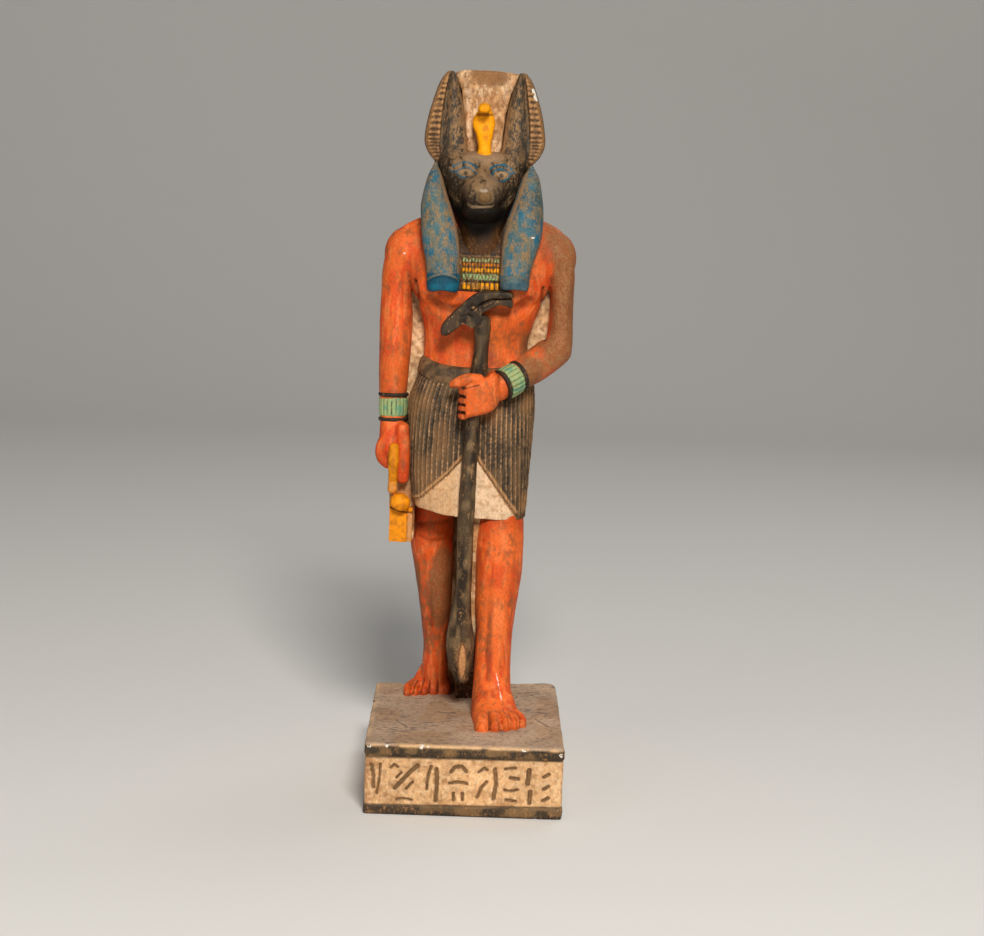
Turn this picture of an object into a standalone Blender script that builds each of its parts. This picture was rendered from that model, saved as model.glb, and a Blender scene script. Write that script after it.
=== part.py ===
"""A painted limestone statuette of a striding jackal-headed god.

Figure, back pillar, stone webs and plinth are carved from one block, so they are one object. The plinth has its own
sizes. The figure is drawn on a canon of 405 shares from its soles to the top of its crown: every place and width in
the functions below is in those shares, x to the viewer's right, y to the back and z up from the soles.
"""

import math

import bmesh
import bpy
import numpy as np

# Driving sizes, in metres
PLINTH_WIDTH = 0.121
PLINTH_DEPTH = 0.160
PLINTH_HEIGHT = 0.044
TOP_BAND = 0.008
FOOT_BAND = 0.0066
FOOT_BAND_SLANT = 0.0009
TOP_RISE_FRONT_RIGHT = 0.0006
TOP_RISE_BACK_RIGHT = 0.0034
BAND_GROOVE_WIDTH = 0.0010
BAND_GROOVE_DEPTH = 0.0010
PANEL_INSET = 0.0006
EDGE_CHAMFER = 0.0012
CORNER_RADIUS = 0.0025
WORN_CORNER_RADIUS = 0.0100
BACK_TAPER = 0.0014
STROKE_DEPTH = 0.0010
STROKE_WIDTH = 0.0017
STROKE_MARKS = 9
FIGURE_HEIGHT = 0.405
PILLAR_SETBACK = 0.002
SINK = 0.003

# The figure's canon
CANON = 405.0
PILLAR_BACK = 78.0
PILLAR_FRONT = 64.0
SHARE = FIGURE_HEIGHT / CANON
FIGURE_Y = PLINTH_DEPTH / 2 - PILLAR_SETBACK - PILLAR_BACK * SHARE
SOLE = -SINK / SHARE

# How finely round forms are cut
BODY_SIDES = 16
LIMB_SIDES = 10
SMALL_SIDES = 6
RING_SPACING = 15.0
TRIM_RATIO = 0.595

PLEATS = 54
PLEAT_DEPTH = 0.9
UNPLEATED_FROM = 0.76
EAR_RIBS = 12
BRACELET_BEADS = 12
COLLAR_ROWS = ((288.6, 285.6), (285.3, 282.8), (282.4, 279.4), (279.0, 274.4), (273.6, 268.8))
COLLAR_BEADS = 6

STONE_COLOUR = (0.62, 0.44, 0.29, 1.0)


def clear_scene():
    for obj in list(bpy.data.objects):
        bpy.data.objects.remove(obj)


def painted_stone():
    material = bpy.data.materials.new("painted_limestone")
    material.use_nodes = True
    shader = material.node_tree.nodes["Principled BSDF"]
    shader.inputs["Base Color"].default_value = STONE_COLOUR
    shader.inputs["Roughness"].default_value = 0.8
    shader.inputs["Metallic"].default_value = 0.0
    return material


def new_collection(name):
    collection = bpy.data.collections.new(name)
    bpy.context.scene.collection.children.link(collection)
    return collection


def mesh_object(name, points, faces, collection, helper=True):
    """A closed mesh from points in metres, with its faces turned outwards. A helper is only an operand of a Boolean."""
    mesh = bpy.data.meshes.new(name)
    mesh.from_pydata([tuple(p) for p in points], [], [tuple(f) for f in faces])
    bm = bmesh.new()
    bm.from_mesh(mesh)
    bmesh.ops.recalc_face_normals(bm, faces=bm.faces)
    bmesh.ops.triangulate(bm, faces=bm.faces)
    bm.to_mesh(mesh)
    bm.free()
    obj = bpy.data.objects.new(name, mesh)
    collection.objects.link(obj)
    if helper:
        obj.hide_render = True
        obj.display_type = "WIRE"
    return obj


def to_metres(points):
    """Canon points as places in metres, over the plinth."""
    points = np.asarray(points, float) * SHARE
    return points + np.array((0.0, FIGURE_Y, PLINTH_HEIGHT))


def spline(stations, count):
    """A smooth curve through every station, at count even steps. A station may hold widths beside its place."""
    stations = np.array(stations, float)
    last = len(stations) - 1
    rows = []
    for step in np.linspace(0, last, count):
        i = min(int(step), last - 1)
        t = step - i
        a, b, c, d = (stations[min(max(k, 0), last)] for k in (i - 1, i, i + 1, i + 2))
        bend = 2 * a - 5 * b + 4 * c - d
        twist = 3 * b - a - 3 * c + d
        rows.append(0.5 * (2 * b + (c - a) * t + bend * t**2 + twist * t**3))
    return np.array(rows)


def skin(name, rings, collection):
    """A closed solid skinned over rings of equal length in shares, with its first and last ring filled."""
    sides = len(rings[0])
    faces = [tuple(range(sides)), tuple(range(len(rings) * sides - sides, len(rings) * sides))]
    for r in range(len(rings) - 1):
        for s in range(sides):
            t = (s + 1) % sides
            faces.append((r * sides + s, r * sides + t, (r + 1) * sides + t, (r + 1) * sides + s))
    return mesh_object(name, to_metres(np.concatenate(rings)), faces, collection)


def rounded(value, power):
    """The rule of a superellipse: a cosine or sine squared off as power goes over 2."""
    return math.copysign(abs(value) ** (2.0 / power), value)


def oval(half_u, half_v, sides, power=2.0):
    """(u, v) of a superellipse, anticlockwise."""
    angles = (math.tau * s / sides for s in range(sides))
    return [(half_u * rounded(math.cos(a), power), half_v * rounded(math.sin(a), power)) for a in angles]


def ring_count(stations, axes):
    places = np.array(stations, float)[:, axes]
    length = np.linalg.norm(np.diff(places, axis=0), axis=1).sum()
    return max(3, round(length / RING_SPACING) + 1)


def column(name, stations, collection, sides=BODY_SIDES, power=2.3, rings=None):
    """A standing form from level sections. A station is (z, left, right, front, back)."""
    rings = rings or ring_count(stations, [0])
    found = []
    for z, left, right, front, back in spline(stations, rings):
        middle = np.array(((left + right) / 2, (front + back) / 2, z))
        found.append([middle + (u, v, 0) for u, v in oval((right - left) / 2, (back - front) / 2, sides, power)])
    return skin(name, found, collection)


def tube(name, stations, collection, across=(1, 0, 0), sides=LIMB_SIDES, power=2.0, rings=None, domes=True):
    """A limb along a smooth path. A station is (x, y, z, half width across, half width the other way)."""
    rings = rings or ring_count(stations, [0, 1, 2])
    rows = spline(stations, rings)
    headings = np.gradient(rows[:, :3], axis=0)
    headings /= np.linalg.norm(headings, axis=1)[:, None]
    found = []
    for row, heading in zip(rows, headings):
        side = np.array(across, float) - heading * np.dot(across, heading)
        side /= np.linalg.norm(side)
        other = np.cross(heading, side)
        found.append([row[:3] + u * side + v * other for u, v in oval(row[3], row[4], sides, power)])
    if domes:
        found = dome(found[0], -headings[0], rows[0]) + found + dome(found[-1], headings[-1], rows[-1])[::-1]
    return skin(name, found, collection)


def dome(ring, outwards, row):
    """Two shrinking rings that round off a tube's end, smallest first."""
    reach = min(row[3], row[4]) * 0.8
    centre = row[:3]
    made = []
    for angle in (math.radians(65), math.radians(35)) if len(ring) > SMALL_SIDES else (math.radians(50),):
        shrunk = [centre + (p - centre) * math.cos(angle) + outwards * reach * math.sin(angle) for p in ring]
        made.append(shrunk)
    return made


def ball(name, centre, radii, collection, sides=8):
    """An ellipsoid, from level rings."""
    levels = max(4, sides // 2)
    found = []
    for level in range(levels):
        angle = math.pi * (level + 0.5) / levels
        shrink = math.sin(angle)
        middle = np.array(centre, float) - (0, 0, radii[2] * math.cos(angle))
        found.append([middle + (u, v, 0) for u, v in oval(radii[0] * shrink, radii[1] * shrink, sides)])
    return skin(name, found, collection)


def block(name, low, high, collection):
    """A box between two corners in shares."""
    rings = [[(x, y, z) for x, y in ((low[0], low[1]), (high[0], low[1]), (high[0], high[1]), (low[0], high[1]))]
             for z in (low[2], high[2])]
    return skin(name, [np.array(ring, float) for ring in rings], collection)


def cutout(name, outline, front, back, collection, shoulder=0.0, slant=0.0):
    """An (x, z) outline cut through from front to back, its front edge eased by shoulder.

    Slant sets it aslant, further back to the viewer's right."""
    outline = np.array(outline, float)
    middle = outline.mean(axis=0)
    spans = np.linalg.norm(outline - middle, axis=1)[:, None]
    eased = middle + (outline - middle) * (1 - shoulder / spans)
    layers = [(outline, back), (outline, front + shoulder), (eased, front)] if shoulder else [(outline, back),
                                                                                              (outline, front)]
    return skin(name, [np.array([(x, y + slant * x, z) for x, z in points]) for points, y in layers], collection)


def pillar(forms):
    """The back pillar, tapering to the crown, and the stone that fills the gaps between limbs and body."""
    foot = [(-29.5, SOLE), (27.5, SOLE), (21.0, 400.0), (18.0, 404.0), (-19.0, 404.6), (-22.0, 400.0)]
    cutout("back_pillar", foot, PILLAR_FRONT, PILLAR_BACK, forms)
    crown = [(-21.0, 403.4), (-14.5, 405.2), (1.0, 405.4), (20.6, 403.4), (15.3, 391.3), (12.0, 378.0), (9.5, 348.0),
             (-11.4, 348.0), (-13.6, 372.0), (-16.5, 392.0)]
    cutout("crown_block", crown, 52.5, PILLAR_FRONT + 2, forms, shoulder=1.0)
    block("arm_web", (-50.0, 51.0, 104.8), (-30.0, 63.0, 288.0), forms)
    block("ankh_web", (-53.0, 34.0, 105.4), (-37.5, 66.0, 168.0), forms)
    cutout("elbow_web", [(27.0, 222.0), (48.0, 222.0), (48.0, 286.0), (40.0, 286.0)], 51.0, 63.0, forms)
    block("leg_web", (-7.5, 15.0, SOLE), (8.0, 66.0, 134.0), forms)
    block("waist_web", (6.0, 16.0, 203.0), (26.0, 36.0, 214.0), forms)


def torso(forms):
    column("torso", [
        (204, -36, 35, 25, 67), (222, -35, 32.5, 27, 66), (235, -34.8, 31.4, 28, 66), (248, -36.6, 34.8, 25, 66),
        (262, -41.8, 40.4, 22, 66), (278, -48.5, 46.5, 22, 67), (292, -54, 52, 26, 66), (300, -55.5, 53.5, 31, 64),
        (306, -50.5, 49.5, 35, 61), (311.4, -40, 39, 38, 59), (316, -26, 25, 40, 58)], forms, sides=20, rings=11)
    for side in (-1, 1):
        ball("breast", (side * 21.5 - 1.5, 35.5, 270), (20, 14.5, 15.5), forms, sides=12)
        ball("shoulder", (side * 47.4 - 0.9, 46, 288.5), (13.6, 14, 16.5), forms, sides=12)


def right_arm(forms):
    """The arm that hangs at the viewer's left, its wristband, and the fist on the ankh."""
    tube("right_arm", [
        (-50.5, 46, 292, 10, 12.5), (-53.2, 46, 278, 9.8, 12.8), (-54, 46, 266, 9.6, 12.4), (-53.4, 46, 249, 10.6, 12.4),
        (-53.4, 45, 230, 10.4, 12), (-54, 44, 212, 9.6, 11), (-54, 43, 198, 9, 10), (-53.7, 42, 180, 8.4, 9.4)], forms)
    wristband("right_band", (-53.6, 43, 199.5), (-53.4, 42.2, 181.0), (9.3, 10.6), (9.0, 10.2), (1, 0, 0), forms)
    tube("right_fist", [(-53.4, 42, 183, 8, 9.2), (-53, 41, 173, 9, 11), (-52.6, 40, 165, 9.4, 13),
                        (-51, 40, 158, 7.6, 11.5)], forms, power=2.4, rings=5)
    for finger in range(4):
        ball("right_knuckle", (-58.8, 32.5 + 5.8 * finger, 162.5 + 0.7 * finger), (4.8, 3.5, 7.4), forms)
    tube("right_thumb", [(-45.8, 31, 174, 3.6, 4.2), (-45.4, 28, 160, 3.8, 4), (-45.2, 28, 146, 3.4, 3.2)],
         forms, sides=SMALL_SIDES)


def ankh(forms):
    """The looped sign held edge on: the loop hangs through the fist, with the crossbar and shaft under it."""
    tube("ankh_loop", [(-51.6, 27, 163, 3.2, 3.6), (-51.6, 25.6, 152, 3.3, 3.6), (-51.8, 27, 139, 3.2, 3.6)], forms,
         sides=SMALL_SIDES, power=2.6)
    tube("ankh_loop_back", [(-51.6, 53, 160, 3.2, 3.6), (-51.6, 54.5, 150, 3.3, 3.6), (-51.8, 50, 136, 3.2, 3.6)], forms,
         sides=SMALL_SIDES, power=2.6)
    tube("ankh_crossbar", [(-47.4, 24, 130.6, 6.6, 5.8), (-48, 40, 131, 6, 5), (-48, 58, 131, 6.6, 5.8)], forms,
         sides=10, rings=3)
    block("ankh_shaft", (-53.4, 26.5, 105.0), (-44.0, 50.0, 130.0), forms)


def left_arm(forms):
    """The arm that bends across the waist to the staff."""
    tube("left_upper_arm", [
        (47.5, 46, 292, 9.5, 12.5), (50.8, 46, 280, 8.7, 12.4), (52, 46, 266, 7.6, 12), (51.9, 46, 252, 7.6, 12),
        (51.6, 44, 238, 8.4, 11.5), (50.6, 42, 231, 8.8, 11)], forms)
    tube("left_forearm", [
        (49.8, 41, 231, 10.2, 10.5), (42, 34, 225.4, 10.8, 10.5), (33, 26, 219.4, 10.4, 10),
        (24, 18.5, 214.4, 9, 9), (13, 12.5, 208, 8.6, 8.4)], forms, across=(0, 0, 1))
    wristband("left_band", (26.8, 20.6, 215.6), (15.0, 13.0, 208.6), (9.8, 9.8), (9.6, 9.4), (0, 0, 1), forms,
              square_to=(0.78, 0.53, 0.33))
    back = [(-8.8, 206.5), (-7.0, 210.4), (-3.8, 212.8), (6.0, 215.8), (8.2, 218.2), (12.6, 218.2), (16.6, 212.0),
            (17.6, 201.0), (12.3, 196.2), (7.2, 192.6), (1.0, 191.4), (-7.6, 189.8)]
    cutout("left_fist", back, -3.4, 32.0, forms, shoulder=2.6, slant=0.36)
    for finger in range(4):
        ball("left_fingertip", (-9.2, 4.4, 205.6 - 5.1 * finger), (3.6, 5.0, 2.4), forms)
    tube("left_thumb", [(1, 3, 213.0, 4.4, 4), (-8, 4, 212.6, 4.2, 4.0), (-15.4, 7, 209.8, 2.6, 3)], forms,
         across=(0, 0, 1), sides=SMALL_SIDES)


def wristband(name, start, end, start_radii, end_radii, across, forms, square_to=None):
    """Two plain rims with a belt of upright beads between them, round a limb from start to end.

    Its rims lie square to the limb, or to another direction."""
    start, end = np.array(start, float), np.array(end, float)
    heading = np.array(square_to, float) if square_to else end - start
    heading /= np.linalg.norm(heading)
    side = np.array(across, float) - heading * np.dot(across, heading)
    side /= np.linalg.norm(side)
    other = np.cross(heading, side)
    sides = 2 * BRACELET_BEADS
    rings = []
    profile = ((0.0, 0.0, 0), (0.2, 0.0, 0), (0.24, -0.6, 1), (0.76, -0.6, 1), (0.8, 0.0, 0), (1.0, 0.0, 0))
    for place, rise, beaded in profile:
        radii = np.array(start_radii) * (1 - place) + np.array(end_radii) * place + rise
        ring = []
        for s, (u, v) in enumerate(oval(radii[0], radii[1], sides)):
            groove = 1.0 - 0.075 * (beaded and s % 2)
            ring.append(start + (end - start) * place + groove * (u * side + v * other))
        rings.append(ring)
    return skin(name, rings, forms)


def pleated_ring(z, left, right, front, back, power):
    """One level section of the kilt. It is folded into pleats, but for the stretch that meets the back pillar."""
    middle = np.array(((left + right) / 2, (front + back) / 2, z))
    ring = []
    for s, (u, v) in enumerate(oval((right - left) / 2, (back - front) / 2, 2 * PLEATS, power)):
        if math.sin(math.tau * s / (2 * PLEATS)) > UNPLEATED_FROM:
            continue
        reach = math.hypot(u, v)
        fold = 1 - PLEAT_DEPTH * (s % 2) / reach
        ring.append(middle + (u * fold, v * fold, hem_rise(u)))
    return ring


def hem_rise(offset):
    """The kilt hangs a little higher at the viewer's left."""
    return -0.05 * offset


def kilt(forms, cutters):
    """The pleated wrap, open in front over a plain apron, and its belt."""
    stations = [(217, -36, 34.5, 24.5, 67, 2.5), (210, -38.5, 36.5, 21.5, 67.5, 2.5), (194, -43.8, 37.6, 16.5, 68, 2.5),
                (172, -43.8, 36.6, 11.5, 69, 2.7), (150, -42, 35.2, 7.5, 69, 3.1), (126, -39, 33.8, 5, 68, 3.6)]
    rows = spline(stations, 5)
    wrap = skin("kilt_wrap", [pleated_ring(*row) for row in rows], forms)
    opening = [(-3.0, 168.0), (-10.5, 159.0), (-17.5, 150.6), (-26.0, 142.8), (-36.5, 135.2), (-39.0, 118.0),
               (29.0, 118.0), (28.6, 125.4), (20.5, 136.6), (13.0, 147.0), (4.0, 158.8)]
    cutter = cutout("apron_opening", opening, -14.0, 30.0, cutters)
    cut = wrap.modifiers.new("apron_opening", "BOOLEAN")
    cut.operation = "DIFFERENCE"
    cut.object = cutter
    inner = []
    for z, left, right, front, back, power in rows[1:]:
        middle = np.array(((left + right) / 2, (front + back) / 2, z))
        shape = oval((right - left) / 2 - 1.6, (back - front) / 2 - 1.6, BODY_SIDES + 4, power)
        inner.append([middle + (u, v, hem_rise(u) + 0.5) for u, v in shape])
    skin("kilt_apron", inner, forms)
    belt = []
    for z, grow in ((210.2, 0.0), (210.8, 1.2), (218.8, 0.8), (219.4, -0.4)):
        middle = np.array((-1.0, 45.0, z))
        shape = oval(37.2 - (z - 208.6) * 0.2 + grow, 23.6 - (z - 208.6) * 0.18 + grow, 24, 2.5)
        belt.append([middle + (u, v, 0.2 * v + 2.4) for u, v in shape])
    skin("kilt_belt", belt, forms)


def rear_leg(forms):
    column("rear_leg", [
        (140, -39.5, -11, 34, 69), (116, -39.2, -12, 35, 69), (102, -40, -12.5, 36, 69), (90, -38, -11.6, 38, 69),
        (75, -35.2, -12, 38.5, 68), (58, -32.7, -12.3, 41.5, 69), (42, -30.4, -13.7, 46, 70),
        (32, -29.4, -14, 48, 71), (18, -30, -13, 49, 72), (SOLE, -31, -12, 50, 74)], forms, sides=LIMB_SIDES, power=2.2)
    ball("rear_kneecap", (-26.0, 41.0, 107), (11, 6.2, 8), forms, sides=10)
    foot("rear_foot", [
        (74, -29.4, -13.4, 14), (67, -30, -12.8, 24), (61, -32, -11.8, 21), (56.5, -35.6, -10.6, 12.5),
        (53, -38, -10, 8.2)], forms)
    toes("rear", [(-14.4, 48.8, 4.5), (-22.2, 47.2, 2.9), (-28.3, 45.3, 2.9), (-34.0, 43.7, 2.7), (-38.8, 42.0, 2.3)],
         -16.0, forms)


def front_leg(forms):
    column("front_leg", [
        (140, 5, 31, 15, 50), (126, 3.4, 32.4, 9, 46), (110, 3, 33.0, 5.5, 42), (92, 3.4, 32.6, 4, 38),
        (77, 3.8, 31, 2.4, 36), (62, 4.2, 29, 1, 32), (47, 4.6, 27.6, -0.6, 27), (30, 4.2, 27.2, -3, 23),
        (16, 3.6, 28.0, -6, 22), (SOLE, 3, 29.2, -8, 22)], forms, sides=LIMB_SIDES, power=2.2)
    ball("front_kneecap", (17.6, 11.2, 105), (11.5, 6.2, 8.5), forms, sides=10)
    foot("front_foot", [
        (24, 6, 26, 12), (15, 3.8, 28.4, 24), (4, 3.2, 29.2, 26), (-7, 3.4, 30.2, 19), (-16, 4, 31.6, 12.5),
        (-23, 4.8, 33.4, 8.5)], forms)
    toes("front", [(10.8, -45.6, 5.0), (19.4, -42.6, 3.2), (25.6, -41.4, 3.0), (30.8, -36.6, 2.7), (35.2, -31, 2.3)],
         14.0, forms)


def foot(name, stations, forms):
    """A foot from upright sections, flat below. A station is (y, left, right, top)."""
    rings = []
    for y, left, right, top in spline(stations, len(stations) + 2):
        middle, half = (left + right) / 2, (right - left) / 2
        arch = [(math.cos(a), math.sin(a)) for a in np.linspace(0, math.pi, LIMB_SIDES - 4)]
        ring = [(middle + half * rounded(c, 2.6), y, top * rounded(s, 2.2) * 0.999) for c, s in arch]
        ring += [(left, y, SOLE), (middle, y, SOLE), (right, y, SOLE)]
        rings.append(np.array(ring))
    return skin(name, rings, forms)


def toes(name, tips, heading_x, forms):
    """Five toes, big toe first, from their tips (x, y, half width) back into the foot."""
    for x, y, half in tips:
        back_x = x + (heading_x - x) * 0.3
        tube(name + "_toe", [(back_x, y + 20, 4.8, half * 0.9, 3.6), (x, y + 9, 2.6, half, half * 0.7 + 2.2),
                             (x, y + half, 0.8, half * 0.96, half * 0.7 + 1.6)], forms, sides=8, rings=3)


def staff(forms, cutters):
    """The animal-headed sceptre: head in relief on the chest, shaft down to a forked foot on the leg web."""
    tube("staff_shaft", [
        (2.6, 18.5, 249, 4.6, 8), (2.0, 18.5, 245, 5.2, 8.6), (1.7, 18.2, 234, 4.7, 9), (0.5, 17, 212, 5.7, 9),
        (-2.4, 11.5, 190, 4.8, 8.5), (-3.3, 7.6, 162, 4.9, 7.5), (-4, 5.2, 139, 5.2, 7.5), (-4.4, 5.4, 118, 5.2, 7.5),
        (-4.2, 8.4, 78, 5.1, 7.5), (-5.4, 9.4, 62, 6.6, 7.6), (-5.2, 10, 44, 9, 8), (-4.2, 11, 30, 7.6, 7.4),
        (-3.2, 12, 20, 4.8, 6)], forms, rings=15)
    slot = [(-4.2, 46), (-2.2, 41), (-0.6, 34), (-1.4, 26), (-3, 19), (-5.2, 26), (-6.8, 34), (-6.2, 41)]
    cutout("staff_slot", slot, -4.0, 5.0, cutters)
    snout = [(-24.4, 242.8), (-23.1, 240.0), (-20.2, 239.6), (-13.4, 244.4), (-10.4, 246.8), (-4.8, 244.4), (0.4, 248.6),
             (0.6, 253.2), (5.8, 257.0), (12.2, 259.6), (19.8, 257.8), (20.4, 261.2), (19.4, 267.4), (6.6, 268.0),
             (-0.6, 267.3), (-5.9, 264.5), (-11.1, 259.5), (-19.2, 251.4)]
    cutout("staff_head", snout, 11.5, 28.0, forms, shoulder=1.4)
    ball("staff_brow", (-3.4, 13.5, 256.6), (4.4, 4, 3), forms, sides=8)
    ball("staff_snout_tip", (-20.6, 15, 243.2), (4.4, 5, 4.2), forms, sides=8)


def head(forms, cutters):
    """The jackal's head on its neck, with the muzzle thrust forward."""
    column("head", [
        (284, -14.4, 12.4, 27, 60), (291, -14.8, 12.8, 24.6, 60), (298, -14.8, 12.8, 24.2, 60), (305, -15.4, 13.2, 24.8, 60),
        (312, -18.2, 15.4, 25.0, 60), (323, -22.2, 19.2, 23.5, 60), (334, -25.6, 23, 22, 60), (342, -28.4, 25, 22.5, 60),
        (348, -29, 26, 25, 60), (352.5, -27, 24, 30, 60), (357, -21, 18, 40, 60)], forms, sides=18, power=2.4, rings=11)
    tube("muzzle", [(-1, 36, 329.5, 19, 12.5), (-1, 24, 330.5, 15, 11), (-0.9, 14, 330, 12.2, 10),
                    (-1.1, 5, 328.8, 10.4, 8.8), (-1.5, -3, 327.6, 8.8, 7.2)], forms, sides=12, power=2.2, rings=5)
    tube("jaw", [(-1.2, 34, 317, 14, 9), (-1.6, 14, 318.6, 10, 6.4), (-1.9, 0, 319.6, 7.4, 3.6)], forms, rings=4)
    ball("nose", (-0.4, -8.6, 328.8), (5.4, 3.6, 3.8), forms, sides=10)
    tube("lip", [(-9.7, 2.5, 322.2, 1.4, 1.6), (-6, -5.6, 321.6, 1.4, 1.6), (-2.3, -8.4, 321.5, 1.4, 1.6),
                 (1.6, -6.6, 321.8, 1.4, 1.6), (5.6, 1.5, 322.4, 1.4, 1.6)], forms, across=(0, 0, 1), sides=4, rings=5,
         domes=False)
    eyes = (((-12.0, 22.0, 341.0), ((-20.5, 342.0), (-16.7, 342.4), (-11.6, 345.0), (-7.2, 342.6), (-4.9, 341.0)),
             ((-4.9, 341.0), (-11.6, 338.2), (-16.7, 340.6)), ((-19.7, 345.2), (-12.8, 348.6), (-5.0, 344.8))),
            ((10.3, 22.4, 340.4), ((4.1, 339.8), (6.2, 343.0), (9.6, 344.7), (13.8, 343.2), (18.7, 342.0)),
             ((4.1, 339.8), (10.6, 336.8), (15.5, 341.0)), ((2.7, 344.4), (10.0, 347.8), (16.9, 344.4))))
    for centre, upper, lower, brow in eyes:
        ball("eye", centre, (5.8, 2.8, 3.2), forms, sides=10)
        for name, line, half, rings in (("upper_lid", upper, 1.0, 5), ("lower_lid", lower, 0.9, 4), ("brow", brow, 1.2, 4)):
            stations = [(x, face_front(x) + (1.8 if name == "brow" else 0.8), z, half, 2.3) for x, z in line]
            tube(name, stations, forms, across=(0, 0, 1), sides=4, rings=rings, domes=False)


def face_front(x):
    """How far forward the face lies at the eyes, by the distance from its middle."""
    return 22.0 + 3.4 * (abs(x + 1.5) / 20.0) ** 3


def ears(forms):
    """Tall ears beside the crown block: a rounded leaf in front with a strip of cross-cut fur behind its outer edge."""
    outer = [(345, 29.0), (351, 34.8), (357, 37.8), (363, 38.4), (373, 37.0), (383, 34.6), (393, 31.4), (400, 28.2),
             (404.2, 24.8)]
    leaf = [(345, 25.0), (351, 26.2), (357, 27.2), (363, 27.6), (373, 27.2), (383, 26.2), (393, 24.8), (400, 23.4),
            (404.2, 22.4)]
    inner = [(345, 9.8), (351, 10.3), (357, 11.0), (363, 11.8), (373, 12.8), (383, 14.4), (393, 16.8), (400, 19.0),
             (404.2, 20.6)]
    depth = [(345, -13.0), (351, -9.0), (357, -5.0), (363, -2.0), (373, 0.0), (383, 0.0), (393, 0.0), (400, 0.0),
             (404.2, 0.0)]
    leaf_levels, rib_levels = 8, 2 * EAR_RIBS + 1
    for side in (-1, 1):
        rings = []
        for (z, reach), (_, rim), (_, step) in zip(spline(leaf, leaf_levels), spline(inner, leaf_levels),
                                                   spline(depth, leaf_levels)):
            width = reach - rim
            rings.append([(rim, 66, z), (rim, 44.5 + step, z), (rim + width * 0.2, 40.8 + step, z),
                          (rim + width * 0.5, 38.8 + step, z), (rim + width * 0.8, 39.8 + step, z),
                          (reach, 43.0 + step * 0.5, z), (reach, 66, z)])
        skin("ear_leaf", mirrored(rings, side), forms)
        rings = []
        for level, ((z, reach), (_, edge)) in enumerate(zip(spline(outer, rib_levels), spline(leaf, rib_levels))):
            ridge = 1.0 if level % 2 else 0.0
            rings.append([(edge - 2.0, 66, z), (edge - 2.0, 44.4, z), (edge + 0.8, 42.6 - 0.6 * ridge, z),
                          (reach - 2.2, 43.8 - ridge, z), (reach - 0.6 + 0.6 * ridge, 48.0, z), (reach - 2.4, 66, z)])
        skin("ear_fur", mirrored(rings, side), forms)


def mirrored(rings, side):
    """Rings drawn for the viewer's right, or flipped to the left, about the head's own middle line."""
    return [np.array([(side * x - 0.7, y, z) for x, y, z in ring[::side]]) for ring in rings]


def uraeus(forms):
    """The cobra over the forehead, hood spread, its head thrust forward."""
    tube("uraeus_hood", [(-0.6, 35, 350, 5.0, 6), (-0.7, 38, 356.5, 4.2, 5.4), (-1.0, 42.5, 365.6, 5.5, 4.4),
                         (-1.7, 44.5, 371.8, 7.2, 4.2), (-1.2, 45, 377, 6.0, 4.4), (-1.2, 46, 380, 4.4, 4.8)], forms,
         sides=10, rings=7)
    tube("uraeus_head", [(-1.6, 46, 381.6, 3.8, 3.2), (-1.7, 38, 381.6, 4.2, 3.4), (-1.7, 33.0, 380.8, 3.6, 2.8)], forms,
         sides=8, rings=3)


def wig(forms):
    """The long wig: a mass behind the head and two heavy lappets over the chest, each with a banded end."""
    column("wig_back", [
        (358, -22, 20, 46, 68), (348, -28, 26, 44, 71), (338, -31.5, 30, 44, 73), (322, -36, 34, 47, 74),
        (304, -34, 33, 50, 74), (286, -29.5, 28.5, 56, 72), (268, -26, 25, 60, 70)], forms, power=2.4)
    left = [(-31.4, 46, 345.5, 1.6, 9), (-31.3, 43, 339, 3.6, 10), (-31.1, 36, 329, 6.9, 11),
            (-30.3, 30, 319.5, 9.4, 11), (-28.4, 26, 310, 10.7, 10.4), (-26.7, 23.6, 300, 11.4, 9.6),
            (-24.9, 21.6, 288.5, 11, 9), (-23.8, 20.3, 277.6, 10.3, 8.6)]
    right = [(29.0, 46, 346, 1.6, 9), (29.2, 43, 340, 4.2, 10), (28.7, 36, 330, 7.6, 11),
             (27.9, 30, 320, 9.8, 11), (26.4, 26, 311, 11.5, 10.4), (24.6, 23.6, 301.5, 11.8, 9.6),
             (22.7, 21.6, 291, 10.8, 9), (21, 20.3, 279, 9.2, 8.6)]
    for name, stations in (("left", left), ("right", right)):
        tube(name + "_lappet", stations, forms, power=2.2, rings=8, domes=False)
        x, y, z, half_x, half_y = stations[-1]
        cuff = [(z + 1.0, 0.96), (z + 0.2, 1.03), (z - 7.0, 0.99), (z - 10.4, 0.92)]
        rings = [[np.array((x, y - (z - level) * 0.05, level)) + (u, v, 0)
                  for u, v in oval(half_x * grow, half_y * grow, LIMB_SIDES, 2.2)] for level, grow in cuff]
        skin(name + "_lappet_end", rings, forms)


def collar(forms):
    """Rows of beads on the breast between the lappets, each row a strip of small upright ribs."""
    left, right, depth = -15.0, 13.5, 12.0
    for row, (top, bottom) in enumerate(COLLAR_ROWS):
        beads = COLLAR_BEADS if row == len(COLLAR_ROWS) - 1 else COLLAR_BEADS + 3
        front = 23.6 - 2.6 * row / (len(COLLAR_ROWS) - 1)
        outline = []
        for s in range(2 * beads + 1):
            x = left + (right - left) * s / (2 * beads)
            outline.append((x, front - 1.1 * (s % 2) + 0.006 * (x + 1) ** 2))
        outline += [(right, front + depth), (left, front + depth)]
        rings = [np.array([(x, y, z) for x, y in outline]) for z in (bottom, top)]
        skin("collar_row", rings, forms)
    block("collar_ground", (left, 24.4, 266.0), (right, 36.0, 291.0), forms)


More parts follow.
